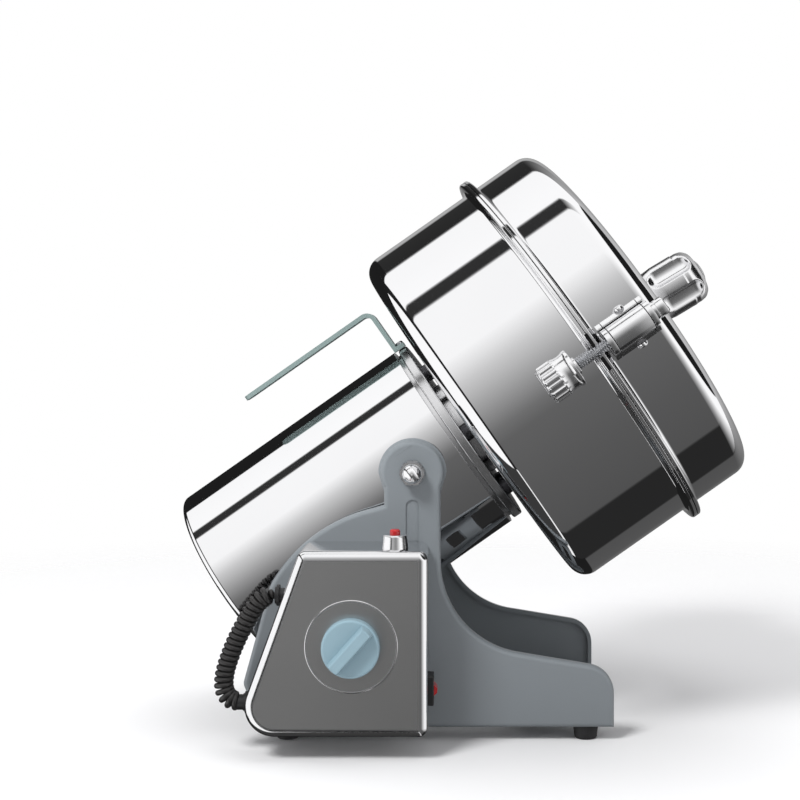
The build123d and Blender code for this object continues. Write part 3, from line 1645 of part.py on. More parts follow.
with BuildPart() as brushes:
    for side in sides:
        with BuildSketch(across(brush_start + running_fit)) as brush_outline:
            with Locations((0, side * (commutator_radius + seat_gap + brush_reach / 2))):
                Rectangle(brush_width, brush_reach)
        extrude(amount=brush_length)
save(brushes, "brushes")

with BuildPart() as cooling_fan:
    fan_front = fan_rear + fan_width
    revolve(tube(shaft_radius, fan_hub_radius, fan_rear, fan_front), axis=mill_axis())
    fan_disc = tube(shaft_radius, fan_radius, fan_rear, fan_rear + fan_disc_thickness)
    revolve(fan_disc, axis=mill_axis())
    vane_length = fan_radius - fan_hub_radius
    with BuildSketch(across(fan_rear)) as vanes:
        with PolarLocations((fan_radius + fan_hub_radius) / 2, fan_blades):
            Rectangle(vane_length, fan_vane_thickness, rotation=fan_vane_turn)
    extrude(amount=fan_width)
save(cooling_fan, "cooling_fan")

# ================================================================ shaft and blades
upper_blade_start = lower_blade_start + blade_thickness + blade_spacing
blade_nut_start = upper_blade_start + blade_thickness
with BuildPart() as motor_shaft:
    shaft_section = outline(
        along(),
        (0, shaft_rear),
        (shaft_radius - shaft_chamfer, shaft_rear),
        (shaft_radius, shaft_rear + shaft_chamfer),
        (shaft_radius, shaft_front - shaft_chamfer),
        (shaft_radius - shaft_chamfer, shaft_front),
        (0, shaft_front),
    )
    revolve(shaft_section, axis=mill_axis())
save(motor_shaft, "motor_shaft")


def turned_across(axial, turn):
    """Plane square to the mill's axis, turned about it."""
    angle = math.radians(turn)
    arm_dir = rise_dir * math.cos(angle) - Vector(0, 1, 0) * math.sin(angle)
    return Plane(origin=mill_point(axial), x_dir=arm_dir, z_dir=mill_dir)


for label, reach, start, turn in (
    ("lower_blade", lower_blade_radius, lower_blade_start, lower_blade_turn),
    ("upper_blade", upper_blade_radius, upper_blade_start, lower_blade_turn + 90),
):
    root = blade_width / 2
    tip = blade_width * blade_tip_share
    with BuildPart() as blade:
        with BuildSketch(turned_across(start, turn)) as blade_arms:
            with BuildLine():
                Polyline(
                    (-reach, -tip),
                    (0, -root),
                    (reach, -tip + blade_sweep),
                    (reach - blade_tip_cut, tip),
                    (0, root),
                    (-reach + blade_tip_cut, tip - blade_sweep),
                    close=True,
                )
            make_face()
            Circle(blade_width * blade_eye_share)
            Circle(shaft_radius, mode=Mode.SUBTRACT)
        extrude(amount=blade_thickness)
        # ground edges
        leading = [
            edge
            for edge in blade.edges().filter_by(GeomType.LINE)
            if edge.length > reach / 2
            and (edge.center() - pivot).dot(mill_dir) > start + blade_thickness / 2
        ]
        chamfer(leading, blade_edge_rise, blade_edge_width)
    save(blade, label)

with BuildPart() as blade_spacers:
    seal_end = bowl_inner_floor + shaft_seal_height + blade_seal_gap
    for start, end in (
        (seal_end, lower_blade_start),
        (lower_blade_start + blade_thickness, upper_blade_start),
    ):
        revolve(tube(shaft_radius, blade_spacer_radius, start, end), axis=mill_axis())
save(blade_spacers, "blade_spacers")

with BuildPart() as blade_nut:
    with BuildSketch(across(blade_nut_start)) as nut_hexagon:
        RegularPolygon(blade_nut_radius, 6)
    extrude(amount=blade_nut_height)
    dome_start = blade_nut_start + blade_nut_height
    with BuildSketch(along()) as nut_dome:
        with BuildLine():
            CenterArc((0, dome_start), blade_nut_dome, 0, 90)
            Polyline(
                (0, dome_start + blade_nut_dome), (0, dome_start), (blade_nut_dome, dome_start)
            )
        make_face()
    revolve(axis=mill_axis())
    with BuildSketch(across(blade_nut_start)) as nut_thread:
        Circle(shaft_radius)
    extrude(amount=shaft_front - blade_nut_start + plate_gap, mode=Mode.SUBTRACT)
save(blade_nut, "blade_nut")
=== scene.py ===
"""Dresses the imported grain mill: finishes, turned steel shells, clamps, knobs, curly cord and studio."""

import json
import math

import bmesh
import bpy
from bpy.props import FloatProperty, FloatVectorProperty, IntProperty, PointerProperty
from bpy.types import Operator, Panel, PropertyGroup
from mathutils import Matrix, Vector


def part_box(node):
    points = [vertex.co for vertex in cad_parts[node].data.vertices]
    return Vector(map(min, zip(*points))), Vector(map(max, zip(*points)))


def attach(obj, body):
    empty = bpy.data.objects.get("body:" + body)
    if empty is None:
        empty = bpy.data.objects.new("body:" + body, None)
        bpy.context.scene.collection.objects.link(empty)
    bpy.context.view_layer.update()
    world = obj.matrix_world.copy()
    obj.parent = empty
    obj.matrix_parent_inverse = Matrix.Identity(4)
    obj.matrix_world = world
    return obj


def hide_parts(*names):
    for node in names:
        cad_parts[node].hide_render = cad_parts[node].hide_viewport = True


bl_info = {
    "name": "Grain mill dressing",
    "version": (1, 0, 0),
    "blender": (4, 5, 0),
    "location": "3D View > Sidebar > Grain mill",
    "description": "Finishes, turned shells, clamps, knobs, curly cord and studio of a tilting grain mill",
    "category": "Add Mesh",
}

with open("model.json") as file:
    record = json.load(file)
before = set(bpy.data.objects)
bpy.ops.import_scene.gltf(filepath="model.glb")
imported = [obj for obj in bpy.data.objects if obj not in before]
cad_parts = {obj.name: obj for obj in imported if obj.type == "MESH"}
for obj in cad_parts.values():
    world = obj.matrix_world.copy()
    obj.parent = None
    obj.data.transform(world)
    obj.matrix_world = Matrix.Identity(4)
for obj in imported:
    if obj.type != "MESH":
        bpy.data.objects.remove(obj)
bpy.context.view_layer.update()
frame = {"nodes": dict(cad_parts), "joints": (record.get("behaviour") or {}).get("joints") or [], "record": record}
MM = 0.001
FULL_TURN = 2 * math.pi
SAME = 1e-6  # metres within which two places count as the same
EDGE = 0.3 * MM  # rounding of a cut edge
BESIDE = 0.3 * MM  # rows this far beside a rounding keep the straight walls straight in a mirror

# -------- places read from the frame
# MILL carries what is modelled about Z onto the mill: x rises, y points to the near side
JOINTS = {joint["name"]: joint for joint in frame["joints"]}
PIVOT = Vector(JOINTS["mill_tilt"]["pos_m"])
AXIS = Vector(JOINTS["rotor_spin"]["axis"]).normalized()
NEAR = Vector((0, -1, 0))
RISE = NEAR.cross(AXIS)
CLAMP_OFFSET = -JOINTS["near_nut_turn"]["pos_m"][1]
MILL = Matrix((RISE, NEAR, AXIS)).transposed().to_4x4()
MILL.translation = PIVOT


def upright_place(origin, facing):
    """Where a piece modelled about Z stands when its Z points along a level direction, with y up."""
    facing = Vector(facing)
    up = Vector((0, 0, 1))
    place = Matrix((up.cross(facing), up, facing)).transposed().to_4x4()
    place.translation = origin
    return place


def mill_reach(node):
    """A node's lowest and highest place along the mill's axis, and its largest radius."""
    inverse = MILL.inverted()
    places = [inverse @ vertex.co for vertex in frame["nodes"][node].data.vertices]
    heights = [place.z for place in places]
    return min(heights), max(heights), max(place.xy.length for place in places)


# -------- sizes and colours to change
def size(name, description, millimetres):
    """A length that the sidebar shows in the scene's unit."""
    return FloatProperty(
        name=name, description=description, default=millimetres * MM, min=0.0, unit="LENGTH"
    )


def colour(name, description, default):
    """A colour that the sidebar shows as a swatch."""
    return FloatVectorProperty(
        name=name, description=description, default=default, min=0.0, max=1.0, size=3, subtype="COLOR"
    )


class GrainMillSizes(PropertyGroup):
    """Sizes of the dressed pieces that the frame does not give."""

    sheet: size("Sheet", "Thickness of the steel of casing, bowl and lid", 1.5)
    casing_corner: size("Casing corner", "Rounding of the casing's rear edge", 3.6)
    bowl_corner: size("Bowl corner", "Rounding between the bowl's wall and floor", 11.5)
    lid_corner: size("Lid corner", "Rounding between the lid's wall and front", 10.5)
    wall_radius: size("Wall radius", "Outer radius of the walls of bowl and lid", 122.4)
    rim_width: size("Rim width", "How far the rims of bowl and lid stand out", 7.7)
    rim_lip: size("Rim", "Thickness of the rims of bowl and lid", 2.6)
    rim_root: size("Rim root", "Rounding between a rim and its wall", 2.6)
    rim_edge: size("Rim edge", "Rounding of a rim's outer edge", 1.2)
    lug_width: size("Lug width", "Width of the bowl's two lugs", 24.0)
    lug_slot: size("Lug slot", "Width of the slots that take the clamp rods", 7.2)
    barrel_radius: size("Barrel", "Radius of the clamps' barrels", 8.0)
    rod_crest: size("Rod thread", "Outer radius of the clamp rods' thread", 3.4)
    rod_head: size("Rod head", "Radius of the clamp rods' heads", 5.4)
    thread_pitch: size("Thread pitch", "Rise of the clamp rods' thread in one turn", 1.5)
    nut_radius: size("Clamp nut", "Radius of the clamp nuts", 11.35)
    knob_radius: size("Star knob", "Radius of the star knob over its lobes", 19.2)
    ear_radius: size("Ear", "Half width of the near plate's ear over its slanted edge", 20.4)
    dial_radius: size("Dial", "Radius of the dial disc on the panel", 26.0)
    cord_wire: size("Cord wire", "Thickness of the wire that the curly cord is wound from", 3.3)
    cord_coil: size("Cord coil", "Outer radius of the curly cord's turns", 5.8)
    cord_turns: IntProperty(
        name="Cord turns", description="Turns of the curly cord", default=25, min=3, max=60
    )
    nut_flutes: IntProperty(
        name="Nut flutes", description="Flutes round a clamp nut", default=18, min=6, max=40
    )
    knob_lean: FloatProperty(
        name="Knob lean", description="How far the star knob leans down on its stud",
        default=math.radians(4), min=0.0, max=0.2, subtype="ANGLE",
    )
    knob_lobes: IntProperty(
        name="Knob lobes", description="Lobes of the star knob", default=6, min=3, max=10
    )


class GrainMillColours(PropertyGroup):
    """Colours of the finishes."""

    steel: colour("Steel", "Polished stainless steel", (0.80, 0.80, 0.81))
    satin: colour("Satin steel", "Satin steel of the panel", (0.53, 0.53, 0.53))
    plate: colour("Plates", "Grey paint of the side plates", (0.19, 0.21, 0.225))
    handle: colour("Handle", "Grey-green paint of the tilting handle", (0.26, 0.34, 0.33))
    knob: colour("Timer knob", "Blue-grey plastic of the timer knob", (0.25, 0.37, 0.43))
    red: colour("Red plastic", "Plastic of the two red buttons", (0.45, 0.012, 0.014))
    black: colour("Black", "Rubber and black plastic", (0.012, 0.012, 0.013))
    copper: colour("Copper", "Windings and commutator", (0.62, 0.30, 0.16))


def sizes():
    """The sizes as the sidebar has them."""
    return bpy.context.scene.grain_mill_sizes


def colours():
    """The colours as the sidebar has them."""
    return bpy.context.scene.grain_mill_colours


# -------- finishes
# the sockets of a Mix node that mixes colours
MIX_FACTOR, MIX_FIRST, MIX_SECOND, MIX_COLOUR = 0, 6, 7, 2


class Value:
    """A number that varies over a surface. Arithmetic on it adds Math nodes."""

    def __init__(self, tree, socket):
        self.tree = tree
        self.socket = socket

    def math(self, operation, *operands):
        """One Math node on these operands."""
        node = self.tree.nodes.new("ShaderNodeMath")
        node.operation = operation
        for place, operand in zip(node.inputs, operands):
            if isinstance(operand, Value):
                self.tree.links.new(operand.socket, place)
            else:
                place.default_value = operand
        return Value(self.tree, node.outputs[0])

    def __add__(self, other):
        return self.math("ADD", self, other)

    def __rsub__(self, other):
        return self.math("SUBTRACT", other, self)

    def __mul__(self, other):
        return self.math("MULTIPLY", self, other)

    def __truediv__(self, other):
        return self.math("DIVIDE", self, other)

    __radd__ = __add__
    __rmul__ = __mul__

    def clamped(self):
        return self.math("MINIMUM", self.math("MAXIMUM", self, 0.0), 1.0)


class Finish:
    """A material: its Principled shader, and the nodes that vary it."""

    def __init__(self, name, base, roughness, metallic=0.0, **fixed):
        self.material = bpy.data.materials.new(name)
        self.material.use_nodes = True
        self.tree = self.material.node_tree
        self.shader = self.tree.nodes["Principled BSDF"]
        self.base = tuple(base)
        self.set("Base Color", (*self.base, 1.0))
        self.set("Roughness", roughness)
        self.set("Metallic", metallic)
        for socket, value in fixed.items():
            self.set(socket.replace("_", " "), value)
        self.material.diffuse_color = (*self.base, 1.0)

    def set(self, socket, value):
        """Feeds a socket of the shader from a link or a plain value."""
        place = self.shader.inputs[socket]
        if isinstance(value, Value):
            self.tree.links.new(value.socket, place)
        else:
            place.default_value = value
        return self

    def node(self, kind, settings=None, values=None, output=0):
        """Adds a node, sets it, feeds its sockets and returns one output."""
        node = self.tree.nodes.new(kind)
        for name, setting in (settings or {}).items():
            setattr(node, name, setting)
        for name, value in (values or {}).items():
            if isinstance(value, Value):
                self.tree.links.new(value.socket, node.inputs[name])
            else:
                node.inputs[name].default_value = value
        return Value(self.tree, node.outputs[output])

    def places(self, turned=None, scale=(1, 1, 1)):
        """Object coordinates, turned, then scaled about the origin."""
        coordinates = self.node("ShaderNodeTexCoord", output="Object")
        if turned is not None:
            inverse = turned.inverted()
            values = {"Location": inverse.to_translation(), "Rotation": inverse.to_euler()}
            coordinates = self.node("ShaderNodeMapping", values={"Vector": coordinates, **values})
        return self.node("ShaderNodeMapping", values={"Vector": coordinates, "Scale": scale})

    def noise(self, scale, detail=3.0, places=None):
        """Noise about 0.5, in features per metre."""
        values = {"Vector": places or self.places(), "Scale": scale, "Detail": detail}
        return self.node("ShaderNodeTexNoise", values=values)

    def mix(self, factor, first, second):
        """A colour between two, by a factor."""
        values = {MIX_FACTOR: factor, MIX_FIRST: (*first, 1.0), MIX_SECOND: (*second, 1.0)}
        return self.node("ShaderNodeMix", {"data_type": "RGBA"}, values, output=MIX_COLOUR)

    def shade(self, amount, factor):
        """Lets the base colour range from darker to lighter, by a factor."""
        low = [part * (1 - amount) for part in self.base]
        high = [min(1.0, part * (1 + amount)) for part in self.base]
        return self.set("Base Color", self.mix(factor.clamped(), low, high))

    def bump(self, height, distance):
        """Raises the surface by a height in metres."""
        values = {"Height": height, "Distance": distance, "Strength": 1.0}
        return self.set("Normal", self.node("ShaderNodeBump", values=values))

    def grained(self, grain, smoothest, spread, shade, bump=None):
        """Lets one grain vary the roughness and the base colour, and raise the surface."""
        self.set("Roughness", smoothest + grain * spread)
        if bump is not None:
            self.bump(grain, bump)
        return self.shade(shade, grain)


def polished_steel():
    """Mirror-polished stainless steel: faint polishing haze, finest lines round the mill's axis."""
    finish = Finish("polished_steel", colours().steel, 0.03, 1.0)
    haze = finish.noise(9.0, 4.0)
    lines = finish.noise(60.0, 2.0, finish.places(MILL, (1, 1, 40)))
    finish.set("Roughness", 0.018 + haze * 0.03 + lines * 0.02)
    return finish.shade(0.03, haze)


def turned_steel():
    """Finely turned steel, with its lines round the mill's axis."""
    finish = Finish("turned_steel", (0.66, 0.66, 0.67), 0.2, 1.0)
    lines = finish.noise(90.0, 3.0, finish.places(MILL, (1, 1, 30)))
    return finish.grained(lines, 0.13, 0.16, 0.08, 0.00003)


def chrome():
    """Bright chrome on small pieces, with faint handling marks."""
    finish = Finish("chrome", (0.82, 0.82, 0.83), 0.12, 1.0)
    marks = finish.noise(140.0, 4.0)
    return finish.grained(marks, 0.13, 0.07, 0.04)


def zinc():
    """Zinc-plated screws and nuts, slightly cloudy."""
    finish = Finish("zinc", (0.55, 0.56, 0.58), 0.3, 1.0)
    clouds = finish.noise(220.0, 4.0)
    return finish.grained(clouds, 0.2, 0.2, 0.12)


def box_steel():
    """The box's folded steel, polished, with a faint haze."""
    finish = Finish("box_steel", (0.78, 0.78, 0.79), 0.12, 1.0)
    haze = finish.noise(18.0, 3.0)
    return finish.grained(haze, 0.09, 0.07, 0.03)


def satin_steel():
    """The panel's steel: satin, with a very fine grain running across it."""
    finish = Finish("satin_steel", colours().satin, 0.34, 1.0)
    grain = finish.noise(160.0, 3.0, finish.places(None, (1, 1, 24)))
    clouds = finish.noise(9.0, 2.0)
    finish.set("Roughness", 0.29 + grain * 0.05 + clouds * 0.05)
    return finish.shade(0.05, grain * 0.35 + clouds * 0.65)


def plate_paint():
    """Satin powder coat of the side plates, with a fine orange peel, and painted light that makes them lighter
    towards the top.
    """
    finish = Finish("plate_paint", colours().plate, 0.4, 0.0, Coat_Weight=0.15, Coat_Roughness=0.3)
    peel = finish.noise(900.0, 2.0)
    clouds = finish.noise(11.0, 3.0)
    finish.set("Roughness", 0.33 + peel * 0.12 + clouds * 0.06)
    finish.bump(peel, 0.00003)
    # painted light: the base colour grows lighter with height, standing in for the light on the plates' upper
    # parts
    height = finish.node("ShaderNodeSeparateXYZ", values={"Vector": finish.places()}, output="Z")
    return finish.shade(0.22, clouds * 0.3 + height * 5.0 + 0.02)


def handle_paint():
    """Grey-green paint of the handle, thinner and glossier than that of the plates."""
    finish = Finish("handle_paint", colours().handle, 0.32, 0.0, Coat_Weight=0.2)
    peel = finish.noise(700.0, 2.0)
    wear = finish.noise(45.0, 5.0)
    finish.set("Roughness", 0.28 + peel * 0.06 + wear * 0.08)
    finish.bump(peel, 0.000004)
    return finish.shade(0.06, wear)


def knob_plastic():
    """Moulded blue-grey plastic with a fine spark texture."""
    finish = Finish("knob_plastic", colours().knob, 0.42)
    spark = finish.noise(1600.0, 2.0)
    clouds = finish.noise(60.0, 2.0)
    finish.set("Roughness", 0.34 + spark * 0.14)
    finish.bump(spark, 0.00002)
    return finish.shade(0.06, clouds)


def red_plastic():
    """Glossy red plastic of the buttons."""
    finish = Finish("red_plastic", colours().red, 0.18, 0.0, Coat_Weight=0.3)
    clouds = finish.noise(180.0, 2.0)
    return finish.grained(clouds, 0.12, 0.14, 0.12)


def black_plastic():
    """Black moulded plastic."""
    finish = Finish("black_plastic", colours().black, 0.45)
    spark = finish.noise(1200.0, 2.0)
    return finish.grained(spark, 0.36, 0.16, 0.25, 0.00002)


def rubber():
    """Black rubber with a dusty bloom."""
    finish = Finish("rubber", colours().black, 0.7)
    grain = finish.noise(800.0, 3.0)
    bloom = finish.noise(70.0, 3.0)
    finish.set("Roughness", 0.58 + grain * 0.2)
    finish.bump(grain, 0.00004)
    return finish.shade(0.5, bloom)


def cord_rubber():
    """Satin black sheath of the curly cord."""
    finish = Finish("cord_rubber", (0.014, 0.013, 0.013), 0.4, 0.0, Specular_IOR_Level=0.6)
    grain = finish.noise(900.0, 3.0)
    return finish.grained(grain, 0.3, 0.2, 0.4, 0.00002)


def silicone():
    """Pale silicone of the seals."""
    finish = Finish("silicone", (0.72, 0.71, 0.68), 0.5, 0.0, Subsurface_Weight=0.1)
    clouds = finish.noise(120.0, 3.0)
    return finish.grained(clouds, 0.42, 0.16, 0.05)


def dark_steel():
    """Dark laminated steel of the motor."""
    finish = Finish("dark_steel", (0.12, 0.12, 0.13), 0.45, 1.0)
    sheets = finish.noise(40.0, 2.0, finish.places(MILL, (1, 1, 60)))
    return finish.grained(sheets, 0.35, 0.25, 0.3, 0.00006)


def copper():
    """Enamelled copper wire, wound along the mill."""
    finish = Finish("copper", colours().copper, 0.3, 0.9)
    wires = finish.noise(260.0, 2.0, finish.places(MILL, (1, 1, 0.1)))
    return finish.grained(wires, 0.2, 0.25, 0.3, 0.0003)


def cast_alloy():
    """Cast aluminium with its grain."""
    finish = Finish("cast_alloy", (0.5, 0.5, 0.51), 0.5, 1.0)
    grain = finish.noise(500.0, 4.0)
    return finish.grained(grain, 0.4, 0.25, 0.12, 0.0001)


def carbon():
    """Pressed carbon of the brushes."""
    finish = Finish("carbon", (0.03, 0.03, 0.032), 0.6)
    grain = finish.noise(900.0, 3.0)
    return finish.grained(grain, 0.5, 0.2, 0.4)


def blade_steel():
    """Ground hardened steel of the blades."""
    finish = Finish("blade_steel", (0.6, 0.6, 0.61), 0.25, 1.0)
    ground = finish.noise(60.0, 3.0, finish.places(MILL, (1, 25, 1)))
    return finish.grained(ground, 0.16, 0.2, 0.1, 0.00003)


FINISHES = {
    "mirror_steel": polished_steel,
    "bowl_steel": polished_steel,
    "brushed_parts": turned_steel,
    "zinc": zinc,
    "chrome_parts": chrome,
    "frame_paint": plate_paint,
    "box_steel": box_steel,
    "panel_steel": satin_steel,
    "handle_paint": handle_paint,
    "knob_plastic": knob_plastic,
    "red_plastic": red_plastic,
    "black_plastic": black_plastic,
    "rubber": rubber,
    "cord_rubber": cord_rubber,
    "silicone": silicone,
    "dark_steel": dark_steel,
    "copper": copper,
    "cast_alloy": cast_alloy,
    "carbon": carbon,
    "blade_steel": blade_steel,
}
made_finishes = {}


def finish_for(slot):
    """The material of a slot, made once."""
    maker = FINISHES[slot]
    if maker not in made_finishes:
        made_finishes[maker] = maker().material
    return made_finishes[maker]


SLOT_OF = {row["node"]: row["material_slot"] for row in frame["record"]["subparts"]}
BODY_OF = {
    node: body for body, nodes in frame["record"]["behaviour"]["bodies"].items() for node in nodes
}


# -------- making pieces
def linked(name, shape, material):
    """Turns a bmesh into an object of the scene."""
    mesh = bpy.data.meshes.new(name)
    shape.to_mesh(mesh)
    shape.free()
    mesh.materials.append(material)
    thing = bpy.data.objects.new(name, mesh)
    bpy.context.scene.collection.objects.link(thing)
    return thing


def finished_piece(name, shape, node, place=None, sharp=32.0, slot=None, stands_for=True):
    """Turns a bmesh into a piece that rides on a node's body, takes its slot and stands for it."""
    if place is not None:
        bmesh.ops.transform(shape, matrix=place, verts=shape.verts[:])
    slot = slot or SLOT_OF[node]
    piece = linked(name, shape, finish_for(slot))
    piece.data.shade_smooth()
    piece.data.set_sharp_from_angle(angle=math.radians(sharp))
    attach(piece, BODY_OF[node])
    if stands_for:
        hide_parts(node)
    return piece


def bevelled(shape, geometry, width, affect, segments):
    """Rounds corners of an outline, or edges."""
    bmesh.ops.bevel(
        shape, geom=geometry, offset=width, offset_type="OFFSET", affect=affect,
        segments=segments, profile=0.5, material=-1,
    )


def merge(shape):
    """Closes seams and poles, and points the faces outwards."""
    bmesh.ops.remove_doubles(shape, verts=shape.verts[:], dist=1e-7)
    bmesh.ops.recalc_face_normals(shape, faces=shape.faces[:])
    return shape


def wire(shape, corners, closed=True, segments=5):
    """Draws an outline of (x, z, rounding) corners in the XZ plane of a bmesh."""
    drawn = [shape.verts.new((x, 0, z)) for x, z, _ in corners]
    following = drawn[1:] + drawn[:1] if closed else drawn[1:]
    for start, end in zip(drawn, following):
        shape.edges.new((start, end))
    for corner, (_, _, rounding) in zip(drawn, corners):
        if rounding:
            bevelled(shape, [corner], rounding, "VERTICES", segments)
    return shape


def turned(corners, steps=96, closed=True, segments=5):
    """Spins a profile of (radius, height, rounding) corners about Z."""
    shape = wire(bmesh.new(), corners, closed, segments)
    bmesh.ops.spin(
        shape, geom=shape.verts[:] + shape.edges[:], cent=(0, 0, 0), axis=(0, 0, 1),
        dvec=(0, 0, 0), angle=FULL_TURN, steps=steps, use_merge=True,
    )
    return merge(shape)


def prism(corners, depth, segments=5):
    """A block with an outline of (x, y, rounding) corners, from Z = 0 up to its depth."""
    shape = bmesh.new()
    drawn = [shape.verts.new((x, y, 0)) for x, y, _ in corners]
    face = shape.faces.new(drawn)
    for corner, (_, _, rounding) in zip(drawn, corners):
        if rounding:
            bevelled(shape, [corner], rounding, "VERTICES", segments)
    face = max(shape.faces, key=lambda each: each.calc_area())
    raised = bmesh.ops.extrude_face_region(shape, geom=[face], use_keep_orig=True)["geom"]
    moved = [item for item in raised if isinstance(item, bmesh.types.BMVert)]
    bmesh.ops.translate(shape, vec=(0, 0, depth), verts=moved)
    return merge(shape)


def edges_at(shape, height):
    """The sharp edges that lie level at a height."""
    return [
        edge for edge in shape.edges
        if all(abs(corner.co.z - height) < SAME for corner in edge.verts)
        and len(edge.link_faces) == 2
        and edge.calc_face_angle(0) > 0.5
    ]


def join(shape, other, place=None):
    """Adds another bmesh to a shape."""
    if place is not None:
        bmesh.ops.transform(other, matrix=place, verts=other.verts[:])
    mesh = bpy.data.meshes.new("joined")
    other.to_mesh(mesh)
    other.free()
    shape.from_mesh(mesh)
    bpy.data.meshes.remove(mesh)
    return shape


class PieceOperator(Operator):
    """Base of the operators that make pieces."""

    bl_options = {"REGISTER", "UNDO"}

    def execute(self, context):
        self.make()
        return {"FINISHED"}


def rows(radius, low, high, count):
    """Corners at even heights on a straight wall."""
    return [(radius, low + (high - low) * step / count, 0) for step in range(count + 1)]


def scoop(shape, count, first, cutter, depth, outer, low, high, edge):
    """Hollows flutes round a turned shape, as a ball-ended cutter leaves them."""
    centre = outer + cutter - depth
    for corner in shape.verts:
        reach = corner.co.xy.length
        beyond = max(0.0, low - corner.co.z, corner.co.z - high)
        if reach < outer * 0.4 or beyond >= cutter:
            continue
        turn = (math.atan2(corner.co.x, corner.co.y) - first) * count / FULL_TURN
        turn = (turn - round(turn)) * FULL_TURN / count
        room = cutter ** 2 - beyond ** 2 - (centre * math.sin(turn)) ** 2
        if room <= 0:
            continue
        cut = centre * math.cos(turn) - math.sqrt(room)
        left = min(cut, reach) - max(edge - abs(cut - reach), 0.0) ** 2 / (4 * edge)
        corner.co.x *= left / reach
        corner.co.y *= left / reach


def thread(shape, low, high, root, crest, pitch):
    """Winds a thread on the wall of a turned shape."""
    for corner in shape.verts:
        reach = corner.co.xy.length
        if low < corner.co.z < high and reach > root * 0.9:
            turn = corner.co.z / pitch - math.atan2(corner.co.y, corner.co.x) / FULL_TURN
            tooth = abs(2 * (turn - math.floor(turn)) - 1)
            fresh = (root + (crest - root) * tooth) / reach
            corner.co.x *= fresh
            corner.co.y *= fresh


# -------- bowl and lid
def shell(hole, floor, rim, corner):
    """A deep drawn pan: flat floor, straight wall and a flat rim, its open side at the rim."""
    kit = sizes()
    way = 1 if rim > floor else -1
    wall, sheet = kit.wall_radius, kit.sheet
    outer = wall + kit.rim_width
    under = rim - way * kit.rim_lip
    return turned((
        (hole, floor, 0),
        (wall - corner - BESIDE, floor, 0),
        (wall, floor, corner),
        (wall, floor + way * (corner + BESIDE), 0),
        (wall, under - way * (kit.rim_root + BESIDE), 0),
        (wall, under, kit.rim_root),
        (wall + kit.rim_root + BESIDE, under, 0),
        (outer, under, kit.rim_edge),
        (outer, rim, EDGE),
        (wall - sheet, rim, EDGE),
        (wall - sheet, floor + way * sheet, corner - sheet),
        (hole, floor + way * sheet, 0),
    ), steps=240, segments=12)


def lug(corners, low, thickness, outer):
    """A slotted lug, its outer end face slanting towards the lid."""
    slant = 1.15 * MM
    block = prism(corners, thickness, segments=10)
    for corner in block.verts:
        if abs(corner.co.y) > outer - SAME and corner.co.z > thickness / 2:
            corner.co.y -= math.copysign(slant, corner.co.y)
    bmesh.ops.translate(block, vec=(0, 0, low), verts=block.verts[:])
    return block


class DrawBowl(PieceOperator):
    """The grinding bowl with its rim and its two slotted lugs"""

    bl_idname = "grain_mill.bowl"
    bl_label = "Bowl"

    def make(self):
        kit = sizes()
        floor, rim, _ = mill_reach("grinding_bowl")
        shaft_hole, inset = 12.4 * MM, 0.2 * MM
        bowl = shell(shaft_hole, floor, rim, kit.bowl_corner)
        half, slot = kit.lug_width / 2, kit.lug_slot / 2
        inner, outer = kit.wall_radius + 2.6 * MM, CLAMP_OFFSET + 9.5 * MM
        root, side = CLAMP_OFFSET - slot, CLAMP_OFFSET + slot
        end = slot * 0.98  # the slot's round end, just short of a half circle
        fork = (
            (-half, inner, 0), (half, inner, 0), (half, outer, 0), (slot, outer, 0),
            (slot, root, end), (-slot, root, end), (-slot, outer, 0), (-half, outer, 0),
        )
        hook = (
            (-half, -inner, 0), (-half, -outer, 0), (half, -outer, 0), (half, -side, 0),
            (-slot, -side, end), (-slot, -root, end), (half, -root, 0), (half, -inner, 0),
        )
        for corners in (fork, hook):
            join(bowl, lug(corners, rim - kit.rim_lip + inset, kit.rim_lip - 2 * inset, outer))
        finished_piece("grinding_bowl_shell", bowl, "grinding_bowl", MILL)


class DrawLid(PieceOperator):
    """The lid with its rounded front edge and its rim"""

    bl_idname = "grain_mill.lid"
    bl_label = "Lid"

    def make(self):
        rim, front, _ = mill_reach("lid")
        stud_hole = 4.2 * MM
        finished_piece("lid_shell", shell(stud_hole, front, rim, sizes().lid_corner), "lid", MILL)


class RollCasing(PieceOperator):
    """The motor's round casing with its rolled rear edge"""

    bl_idname = "grain_mill.casing"
    bl_label = "Casing"

    def make(self):
        rear, front, radius = mill_reach("motor_casing")
        corner, sheet, edge = sizes().casing_corner, 1.2 * MM, 0.2 * MM
        opening = radius - 8 * MM
        casing = turned((
            (opening, rear, 0), (radius, rear, corner), (radius, rear + corner + BESIDE, 0),
            (radius, front - 0.8 * MM, 0), (radius, front, edge), (radius - sheet, front, edge),
            (radius - sheet, rear + sheet, corner - sheet), (opening, rear + sheet, 0),
        ), steps=192, segments=10)
        finished_piece("motor_casing_shell", casing, "motor_casing", MILL)


# -------- lid clamps
def clamp_place(side):
    """Where a piece modelled about the near clamp rod's axis stands, on the near or the far side."""
    turn = Matrix.Rotation(0.0 if side > 0 else math.pi, 4, "Z")
    return MILL @ turn @ Matrix.Translation((0, CLAMP_OFFSET, 0))


